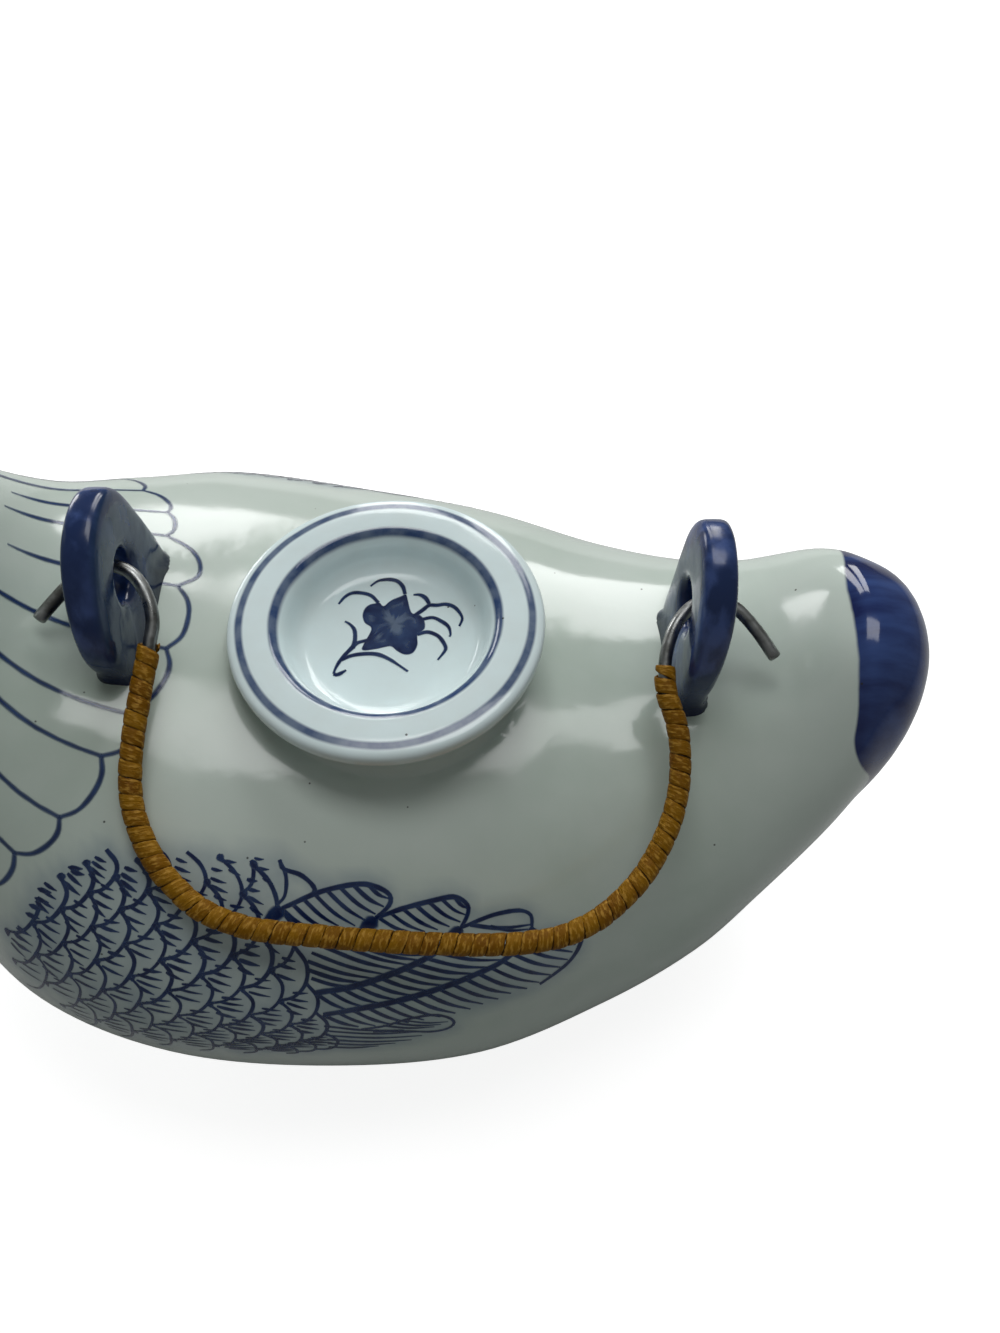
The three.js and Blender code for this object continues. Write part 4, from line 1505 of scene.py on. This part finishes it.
    def draw(self, onto: Painting) -> None:
        """Draws the whole wing."""
        lot = random.Random(5)
        for i, (top, bottom) in enumerate(self.rows, start=-1):
            for j in range(top, bottom + 1):
                self.scale(onto, i, j, lot)
        for along, angle in self.loose:
            fleck = [(along, angle), (along - 0.07, angle + 0.4), (along - 0.14, angle + 0.9)]
            self.pull(onto, fleck, 0.55, 0.3, 0.3)
        first, second, third = self.first_feather, self.second_feather, self.third_feather
        for line, half in (
            (self.leaf, 0.48),
            (first, 0.56),
            (second, 0.56),
            (third, 0.48),
            (self.tip, 0.54),
            (self.upper_quill, 0.78),
            (self.lower_quill, 0.78),
            (self.low_feather, 0.34),
        ):
            self.pull(onto, line, half, 0.8, 0.8)
        for along, angle in (first[0], second[0], third[0]):
            root = [(along, angle), (along + 0.03, angle - 1), (along + 0.1, angle - 2.6)]
            self.pull(onto, root, 1.5, 0.55, 0.3)
        self.bars(onto, [(6.2, -44.7), *first[1:4]], self.first_tips, 8)
        self.bars(onto, [(5.63, -46), *second[1:4]], self.second_tips, 7)
        self.bars(onto, [(5.08, -48.6), (4.95, -49.5)], [(4.69, -51), (4.69, -52)], 2)
        self.bars(onto, self.shoulder, self.even(self.upper_quill, 20)[4:16], 9)
        self.bars(onto, self.upper_quill[:5], self.even(self.lower_quill, 20)[2:17], 12)
        self.bars(onto, self.lower_quill, self.free_ends, 18)
        self.bars(onto, [(5.97, -71.5), (5.96, -80)], self.low_tips, 6, 0.28)
        self.bars(onto, [(5.62, -71.8), (5.48, -70.6)], [(5.3, -73.8), (5.22, -72.5)], 3, 0.28)


@dataclass
class Face:
    """The guessed paint on the head: ringed eyes, nostrils and a line where the comb begins."""

    eye: Point2 = (13.75, 68.0)
    eye_radius: Point2 = (0.17, 14.0)
    nostril: Sequence[Point2] = ((15.2, 40), (15.35, 46), (15.5, 50))
    comb_line: Sequence[Point2] = ((12.9, 25), (13.3, 34), (14.2, 34), (14.9, 22))

    def circle(self, size: float) -> list[Point2]:
        """Gives a ring round the eye, as a share of the eye's own size."""
        along, wide = (size * radius for radius in self.eye_radius)
        angles = np.linspace(0, 2 * math.pi, 9)
        return [(self.eye[0] + along * math.cos(a), self.eye[1] + wide * math.sin(a)) for a in angles]

    def draw(self, onto: Painting) -> None:
        """Draws both sides of the head."""
        for side in (-1, 1):
            for line, *brush in (
                (self.circle(1.0), 0.5, 0.9, 0.9),
                (self.circle(0.35), 0.9, 0.9, 0.9),
                (self.nostril, 0.4),
                (self.comb_line, 0.34),
            ):
                onto.stroke([(along, side * angle) for along, angle in line], *brush)


@dataclass
class Sprig:
    """The flower sprig on the floor of the lid's well, drawn in millimetres from the lid's middle.

    The flower itself is a pool of ink in rings, each a share of the petals' outline and the ink it holds.
    """

    lid: Lid
    petals: Sequence[Point2] = (
        (-2.9, 10), (-1.9, 9.1), (-0.4, 10.6), (1.9, 11.8), (2.7, 12.2), (3.2, 10.4), (4.1, 7.4), (5.8, 6.8),
        (6.8, 5.5), (7, 3.3), (5.6, 1.8), (5.7, -0.7), (4.9, -2.7), (3.3, -3.2), (1.6, -2.3), (0.3, -1.1),
        (-1.1, -1.3), (-2.9, -1.8), (-5.6, -2.1), (-5.3, -0.2), (-4.1, 3.3), (-5.6, 4.8), (-6.2, 6.8),
        (-5.7, 8.7), (-4.3, 9.8),
    )
    middle: Point2 = (0.4, 4.6)
    shares: Sequence[float] = (1.03, 0.98, 0.9, 0.72, 0.5, 0.28, 0.08)
    inks: Sequence[float] = (0.0, 0.86, 0.84, 0.68, 0.62, 0.6, 0.6)
    around: int = 120
    tendrils: Sequence[Sequence[Point2]] = (
        ((-3.1, 10), (-4.7, 11.8), (-6.6, 12.5), (-8.8, 12.5), (-10.4, 11.4), (-11.6, 9.5)),
        ((2.5, 12.3), (1.9, 14.3), (0.6, 15.7), (-1.3, 16.1), (-3.5, 15.7), (-5.1, 14.3)),
        ((7.8, 9.7), (7, 11.2), (5.7, 12.1), (4.3, 12.1)),
        (
            (4.5, 6.4), (6.5, 8.1), (7.8, 9.3), (9.5, 9.3), (11.4, 9.5), (13.2, 8.7), (14.5, 7), (15, 5.5),
            (14.4, 3.7),
        ),
        ((6.6, 5.7), (8.7, 6.1), (10.6, 5.1), (12.1, 3.7), (12.6, 1.8), (12.4, 1.1)),
        ((5.6, 1.8), (7.7, 2.4), (9.8, 1.5), (11, 0), (11.7, -1.8), (11.1, -3.2), (10.1, -4.7)),
        ((-7.7, -1.8), (-7.4, 0.4), (-7.7, 2.9), (-8.8, 4.4), (-9.9, 5.1)),
        ((-4.6, 0.4), (-6.9, -0.4), (-8, -1.8), (-9.3, -3.6), (-10.3, -5.4), (-10.9, -7.1), (-11.1, -8.2)),
        ((-11.1, -8.2), (-10.4, -8.4), (-9.5, -7.9), (-8.6, -7.2)),
        ((-9.8, -4.7), (-7.8, -3.6), (-5.2, -3.1), (-2.5, -3.2), (-0.1, -4.3), (2.1, -5.9), (4.1, -7.5)),
    )
    half: float = 0.5

    def chart(self, places: np.ndarray) -> tuple[np.ndarray, np.ndarray]:
        """Finds places on the well's floor from their X and Y."""
        well = [(r, z) for r, z in self.lid.profile() if r < self.lid.well - 0.3 and z > self.lid.base + 2]
        radii, heights = np.array(sorted(well)).T
        x, y = np.asarray(places, float).T
        r = np.maximum(np.hypot(x, y), 1e-6)
        slope = (np.interp(r + 0.2, radii, heights) - np.interp(r - 0.2, radii, heights)) / 0.4
        out = np.stack([-slope * x / r, -slope * y / r, np.ones(len(x))], axis=1)
        points = np.stack([x, y, np.interp(r, radii, heights)], axis=1)
        return points, out / np.linalg.norm(out, axis=1, keepdims=True)

    def blot(self, finish: BrushInk) -> None:
        """Makes the flower itself: a pool of ink, darkest near its edge, that fades out at the rim."""
        rim = np.array(self.petals)
        rim = spaced(catmull_curve(np.vstack([rim[-2:], rim, rim[:2]]), 6)[12:-12], self.around + 1)[:-1]
        middle = np.array(self.middle)
        points, out = self.chart(np.vstack([middle + (rim - middle) * share for share in self.shares]))
        points = points + out * 0.05
        faces = []
        for first in range(0, (len(self.shares) - 1) * self.around, self.around):
            for k in range(self.around):
                near, far = first + k, first + (k + 1) % self.around
                faces.append([near, far, far + self.around, near + self.around])
        faces.append(list(range(len(points) - self.around, len(points))))
        blot = solid("flower_blot", points, faces, False)
        if blot.data.polygons[0].normal.z < 0:
            blot.data.flip_normals()
        cloud = np.array([noise.noise(Vector(point) * 0.42) for point in points])
        inner = np.repeat(np.arange(len(self.shares)) > 1, self.around)
        faded = np.where(inner, np.clip(0.1 + cloud, 0, 0.3), 0)
        carry(blot.data, "ink", np.repeat(self.inks, self.around) * (1 - faded))
        smooth(blot)
        finish_piece(blot, finish.material(), "lid")

    def build(self, finish: BrushInk) -> None:
        """Paints the sprig."""
        place = {"node": "lid", "body": "lid", "slot": "lid_porcelain"}
        painting = Painting("flower_sprig", self.chart, **place, lift=0.07, pace=0.5, unevenness=0.6)
        for line in self.tendrils:
            painting.stroke(line, self.half, 0.9, 0.55)
        painting.build(finish)
        self.blot(finish)


# The bail.


@dataclass
class Bail:
    """The bail: one wire bent in a plane that holds the hinge axis, and the cane wound round its grip."""

    front_hole: Point2 = FRONT_HOLE
    rear_hole: Point2 = REAR_HOLE
    wire_radius: float = 1.3
    rest_out: float = 0.8144 * HALF_WIDTH
    rest_drop: float = 28.36
    span_drawn: float = 114.6
    front: Sequence[Point2] = (
        (-12.4, 9.4), (-9.8, 5.6), (-7.1, 2.1), (-3.8, -0.8), (0, -1.9), (4, -0.5),
        (7.2, 3.6), (8.7, 8.4), (8.5, 13), (7.6, 22), (6.9, 31.5), (7.3, 41),
    )
    grip: Sequence[Point2] = (
        (10.4, 17.1), (15.4, 10.1), (22.1, 4.7), (30.4, 1.9), (41.4, 0.8), (58.4, 0), (76.4, 0), (84.4, 0.9),
        (91.4, 2.9), (99.4, 8.4), (105.3, 15.6),
    )
    rear: Sequence[Point2] = (
        (-4.9, 41), (-3.7, 32.5), (-4.4, 24.5), (-6.5, 17.8), (-7, 13), (-6.4, 8.6), (-4.7, 4),
        (-1.4, 0.2), (2.8, -1.2), (7, 0.2), (11.1, 4.2), (15.3, 10),
    )
    wrap_from: float = 13.0
    wire_steps: int = 420
    wire_sides: int = 20
    wire_ends: Sequence[Point2] = ((0.0, 0.55), (0.12, 0.82), (0.35, 0.96))
    turns: int = 60
    strip_width: float = 3.0
    strip_thickness: float = 0.74
    strip_inner: float = 1.4
    strip_steps: int = 20
    squareness: Point2 = (0.8, 0.55)
    wander: float = 0.16
    lap: float = 0.42
    turn_length: float = 9.0
    lot: int = 7

    def axes(self) -> tuple[np.ndarray, np.ndarray, np.ndarray, np.ndarray]:
        """Gives the front hole, the hinge direction, the way out to the grip, and the plane's normal."""
        start, end = (np.array([along, 0, up], float) for along, up in (self.front_hole, self.rear_hole))
        along = (end - start) / np.linalg.norm(end - start)
        turn = Matrix.Rotation(math.atan2(self.rest_drop, self.rest_out), 3, Vector(along))
        out = np.array(turn @ Vector((0, -1, 0)))
        return start, along, out, np.cross(along, out)

    def line(self, per_span: int = 16) -> tuple[np.ndarray, int, int]:
        """Gives the points of the wire's middle line, and the ones between which the winding runs."""
        start, along, out, _ = self.axes()
        span = math.dist(self.front_hole, self.rear_hole)
        reach = math.hypot(self.rest_out, self.rest_drop)
        knots = [start + along * a + out * o for a, o in self.front]
        knots += [start + along * (a * span / self.span_drawn) + out * (reach - s) for a, s in self.grip]
        knots += [start + along * (span + a) + out * o for a, o in self.rear]
        first = [o for _, o in self.front].index(self.wrap_from)
        last = len(knots) - len(self.rear) + [o for _, o in self.rear].index(self.wrap_from)
        return catmull_curve(np.array(knots), per_span, True), first * per_span, last * per_span

    def build_wire(self, finish: DrawnSteel) -> None:
        """Builds and dresses the wire, with slightly rounded cut ends."""
        line = spaced(self.line()[0], self.wire_steps)
        tangents = np.gradient(line, axis=0)
        tangents /= np.linalg.norm(tangents, axis=1, keepdims=True)
        normal = self.axes()[3]
        angles = np.linspace(0, 2 * math.pi, self.wire_sides, endpoint=False)
        rings = []
        for spot, tangent in zip(line, tangents):
            side = np.cross(tangent, normal)
            ring = [math.cos(a) * side + math.sin(a) * normal for a in angles]
            rings.append(spot + self.wire_radius * np.array(ring))
        for end, way in ((0, 1), (-1, -1)):
            spot, tangent, ring = line[end], way * tangents[end], rings.pop(end)
            cut = [spot + tangent * step + (ring - spot) * size for step, size in self.wire_ends]
            rings = [*cut, *rings] if way > 0 else [*rings, *cut[::-1]]
        wire = smooth(solid("wire", *loft(np.array(rings))), 50)
        finish_piece(wire, finish.material(), "bail", ["bail_wire"])

    def coil(self, w: Weave) -> tuple[Any, Any, Any]:
        """Winds the strip's middle line round the path.

        Args:
            w: The tree that does it.

        Returns:
            The line, how many turns along each of its points lies, and how wide the strip is there.
        """
        given = w.given
        count = w.math("ADD", w.math("MULTIPLY", given["Turns"], given["Steps per turn"]), 1.0)
        path = w.add("GeometryNodeMeshToCurve", {"Mesh": given["Path"]})
        path = w.add("GeometryNodeResampleCurve", {"Curve": path, "Count": count})
        share = w.add("GeometryNodeSplineParameter").outputs["Factor"]
        turn = w.math("MULTIPLY", share, given["Turns"])
        shift = w.math("MULTIPLY", w.sway(w.math("ADD", turn, given["Seed"]), 0.9, 2.0), self.wander)
        angle = w.math("MULTIPLY", w.math("ADD", turn, shift), 2 * math.pi)
        plane = w.carried("plane", "FLOAT_VECTOR")
        tangent = w.add("GeometryNodeInputTangent").outputs[0]
        side = w.vector("NORMALIZE", w.vector("CROSS_PRODUCT", tangent, plane))
        sideways = w.scaled(side, w.math("COSINE", angle))
        upwards = w.scaled(w.vector("NORMALIZE", plane), w.math("SINE", angle))
        nearest = w.math("MINIMUM", share, w.math("SUBTRACT", 1.0, share))
        from_end = w.math("MULTIPLY", nearest, given["Turns"])
        tuck = w.math("MINIMUM", w.math("ADD", w.math("MULTIPLY", from_end, 1.6), 0.35), 1.0)
        proud = w.math("MULTIPLY", w.sway(turn, 1.7, 1.0), given["Strip thickness"])
        middle = w.math("ADD", given["Inner radius"], w.math("MULTIPLY", given["Strip thickness"], 0.5))
        middle = w.math("ADD", middle, w.math("MULTIPLY", proud, self.lap))
        read = {
            "Outward": ("VECTOR", w.vector("ADD", sideways, upwards)),
            "Turn": ("FLOAT", turn),
            "Tuck": ("FLOAT", tuck),
        }
        path, outward, turn, tuck = w.captured(path, read)
        offset = w.scaled(outward, middle)
        moved = w.add("GeometryNodeSetPosition", {"Geometry": path, "Offset": offset})
        faced = w.add("GeometryNodeSetCurveNormal", {"Curve": moved, "Normal": outward}, mode="FREE")
        return w.add("GeometryNodeSetCurveRadius", {"Curve": faced, "Radius": tuck}), turn, tuck

    def section(self, w: Weave) -> tuple[Any, Any]:
        """Draws the strip's rounded section.

        Args:
            w: The tree that does it.

        Returns:
            The section, and how far across the strip each of its points lies.
        """
        ring = w.add("GeometryNodeCurvePrimitiveCircle", {"Resolution": 12, "Radius": 1.0})
        spot = w.add("ShaderNodeSeparateXYZ", {0: w.add("GeometryNodeInputPosition")}).outputs
        flat = []
        for place, power in zip(spot, self.squareness):
            size = w.math("POWER", w.math("ABSOLUTE", place), power)
            flat.append(w.math("MULTIPLY", w.math("SIGN", place), size))
        halves = [w.math("MULTIPLY", w.given[name], 0.5) for name in ("Strip thickness", "Strip width")]
        places = {number: w.math("MULTIPLY", *pair) for number, pair in enumerate(zip(flat, halves))}
        shape = w.add("ShaderNodeCombineXYZ", places)
        across = w.math("ADD", w.math("MULTIPLY", flat[1], 0.5), 0.5)
        ring, across = w.captured(ring, {"Across": ("FLOAT", across)})
        return w.add("GeometryNodeSetPosition", {"Geometry": ring, "Position": shape}), across

    def winding_tree(self) -> bpy.types.NodeTree:
        """Builds the tree that winds one strip round a path in many turns."""
        counts = dict.fromkeys(("Turns", "Steps per turn", "Seed"), "Int")
        lengths = dict.fromkeys(("Inner radius", "Strip width", "Strip thickness"), "Float")
        w = Weave("CaneWinding", "Path", counts | lengths, "Strip")
        line, turn, tuck = self.coil(w)
        section, across = self.section(w)
        swept = {"Curve": line, "Profile Curve": section, "Fill Caps": True, "Scale": tuck}
        strip = w.add("GeometryNodeCurveToMesh", swept)
        lot = {"ID": w.math("FLOOR", turn), "Seed": w.given["Seed"]}
        tone = w.add("FunctionNodeRandomValue", lot, data_type="FLOAT").outputs["Value"]
        along = w.math("MULTIPLY", turn, self.turn_length)
        for label, value in (("across", across), ("along", along), ("tone", tone)):
            strip = w.stored(strip, label, value)
        return w.close(strip)

    def build_winding(self, finish: SplitCane) -> None:
        """Builds and dresses the cane winding with the tree."""
        line, first, last = self.line()
        path = line[first : last + 1]
        planes = np.tile(self.axes()[3], (len(path), 1))
        winding = threads("cane_winding", [np.hstack([path, planes])], {"plane": slice(3, 6)})
        material = finish.material()
        values = {
            "Turns": self.turns,
            "Steps per turn": self.strip_steps,
            "Inner radius": self.strip_inner * MM,
            "Strip width": self.strip_width * MM,
            "Strip thickness": self.strip_thickness * MM,
            "Seed": self.lot,
            "Finish": material,
        }
        dress(winding, self.winding_tree(), values)
        finish_piece(winding, material, "bail", ["cane_wrap"])


# The studio.


@dataclass(frozen=True)
class Lamp:
    """One rectangular soft lamp: where it hangs, where it points, its width and height, and its watts."""

    name: str
    place: Point3
    target: Point3
    size: Point2
    power: float

    def build(self) -> None:
        """Hangs the lamp."""
        data = bpy.data.lights.new(self.name, "AREA")
        data.shape = "RECTANGLE"
        data.size, data.size_y = (side * MM for side in self.size)
        data.energy = self.power
        way = (Vector(self.target) - Vector(self.place)).normalized()
        turn = way.to_track_quat("-Z", "Y").to_matrix().to_4x4()
        linked(self.name, data).matrix_world = Matrix.Translation(Vector(self.place) * MM) @ turn


@dataclass
class Studio:
    """The camera, the soft lamps and the white paper."""

    camera_place: Point3 = (23.0, -118.4, 263.6)
    forward: Point3 = (0.0, 0.5446, -0.8387)
    up: Point3 = (0.0, 0.8387, 0.5446)
    lens: float = 27.0
    sensor: float = 36.0
    sky: float = 0.17
    lamps: Sequence[Lamp] = (
        Lamp("window_left", (-60, 640, 470), (30, 0, 80), (150, 460), 1.45),
        Lamp("window_right", (150, 640, 470), (30, 0, 80), (150, 460), 1.45),
        Lamp("side_window", (-520, 560, 210), (60, 0, 90), (220, 260), 1.1),
        Lamp("ceiling", (60, 150, 900), (20, 0, 80), (500, 300), 1.9),
    )
    paper: StudioPaper = StudioPaper("white_paper")
    paper_half: float = 3000.0
    paper_drop: float = 0.05

    def camera(self) -> None:
        """Places the camera where the photograph was taken from."""
        data = bpy.data.cameras.new("camera")
        data.sensor_fit = "VERTICAL"
        data.sensor_height = self.sensor
        data.lens = self.lens
        data.clip_start = 0.01
        look, up = Vector(self.forward).normalized(), Vector(self.up).normalized()
        turn = Matrix((look.cross(up).normalized(), up, -look)).transposed().to_4x4()
        turn.translation = Vector(self.camera_place) * MM
        camera = linked("camera", data)
        camera.matrix_world = turn
        bpy.context.scene.camera = camera

    def world(self) -> None:
        """Surrounds the pot with even white light, brighter to the camera."""
        world = bpy.data.worlds.new("soft_room")
        bpy.context.scene.world = world
        world.use_nodes = True
        world.node_tree.nodes.clear()
        g = Graph(world.node_tree)
        seen = g.add("ShaderNodeLightPath").outputs["Is Camera Ray"]
        level = g.math("ADD", g.math("MULTIPLY", seen, 1.0 - self.sky), self.sky)
        back = g.add("ShaderNodeBackground", {"Color": (0.97, 1.0, 0.99, 1.0), "Strength": level})
        g.add("ShaderNodeOutputWorld", {0: back})

    def build(self) -> None:
        """Sets up the whole studio."""
        self.camera()
        self.world()
        for lamp in self.lamps:
            lamp.build()
        half, drop = self.paper_half, -self.paper_drop
        corners = [(-half, -half, drop), (half, -half, drop), (half, half, drop), (-half, half, drop)]
        sheet = solid("paper", corners, [(0, 1, 2, 3)], False)
        sheet.data.materials.append(self.paper.material())
        bpy.context.scene.view_settings.view_transform = "Standard"


def bleed_and_shade(bird: bpy.types.Object, paintings: Sequence[Painting], reach: float = 2.3) -> None:
    """Marks on the bird's mesh how much ink has run into the glaze round the strokes; the same mark is
    painted shade over the wings.

    Args:
        bird: The bird.
        paintings: Whose strokes spread ink and painted shade.
        reach: How far the ink's spread and its painted shade reach, in millimetres.
    """
    spots = np.vstack([stroke[:, :3] for painting in paintings for stroke in painting.strokes]) * MM
    tree = KDTree(len(spots))
    for number, spot in enumerate(spots):
        tree.insert(spot, number)
    tree.balance()
    away = np.array([tree.find(vertex.co)[2] for vertex in bird.data.vertices]) / (reach * MM)
    # The mark is both ink run into the glaze and painted shade over the wings.
    carry(bird.data, "bleed_and_shade", np.exp(-away * away))


def paint_bird(bird: bpy.types.Object, form: BirdForm, glaze: Porcelain) -> None:
    """Paints the bird's feathers and face."""
    ink = BrushInk("feather_ink", glaze)
    neck = Painting("hackle_paint", form.chart)
    Hackle().draw(neck)
    Face().draw(neck)
    neck.build(ink)
    sides = Painting("left_wing_paint", form.chart), Painting("right_wing_paint", form.chart)
    for side, wing in zip(sides, (Wing(-1.0), Wing(1.0, drop=FAR_WING_DROP))):
        wing.draw(side)
        side.build(ink)
    bleed_and_shade(bird, sides)


def main() -> None:
    """Builds the whole pot and its studio."""
    logging.basicConfig(level=logging.INFO, format="%(name)s: %(message)s")
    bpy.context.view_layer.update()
    Studio().build()
    glaze = Porcelain("body_glaze", WashEdge.TAIL)
    form = BirdForm()
    bird = Bird(form).build(glaze)
    paint_bird(bird, form, glaze)
    wash = CobaltWash("lug_wash")
    Lug("front_lug", FRONT_HOLE, FRONT_ARCH, thin_side=1.0).build(wash, bird)
    Lug("rear_lug", REAR_HOLE, REAR_ARCH, lean=2.4).build(wash, bird)
    lid_colours = {"glaze": (0.775, 0.905, 0.915), "pooled": (0.735, 0.865, 0.865)}
    lid_glaze = Porcelain("lid_glaze", WashEdge.RINGS, **lid_colours)
    lid = Lid()
    lid.build(lid_glaze)
    Sprig(lid).build(BrushInk("sprig_ink", lid_glaze))
    bail = Bail()
    bail.build_wire(DrawnSteel("bail_steel"))
    bail.build_winding(SplitCane("split_cane"))
    for name in ("comb", "left_wattle", "right_wattle"):
        rounded_copy(name, wash)


if __name__ == "__main__":
    main()
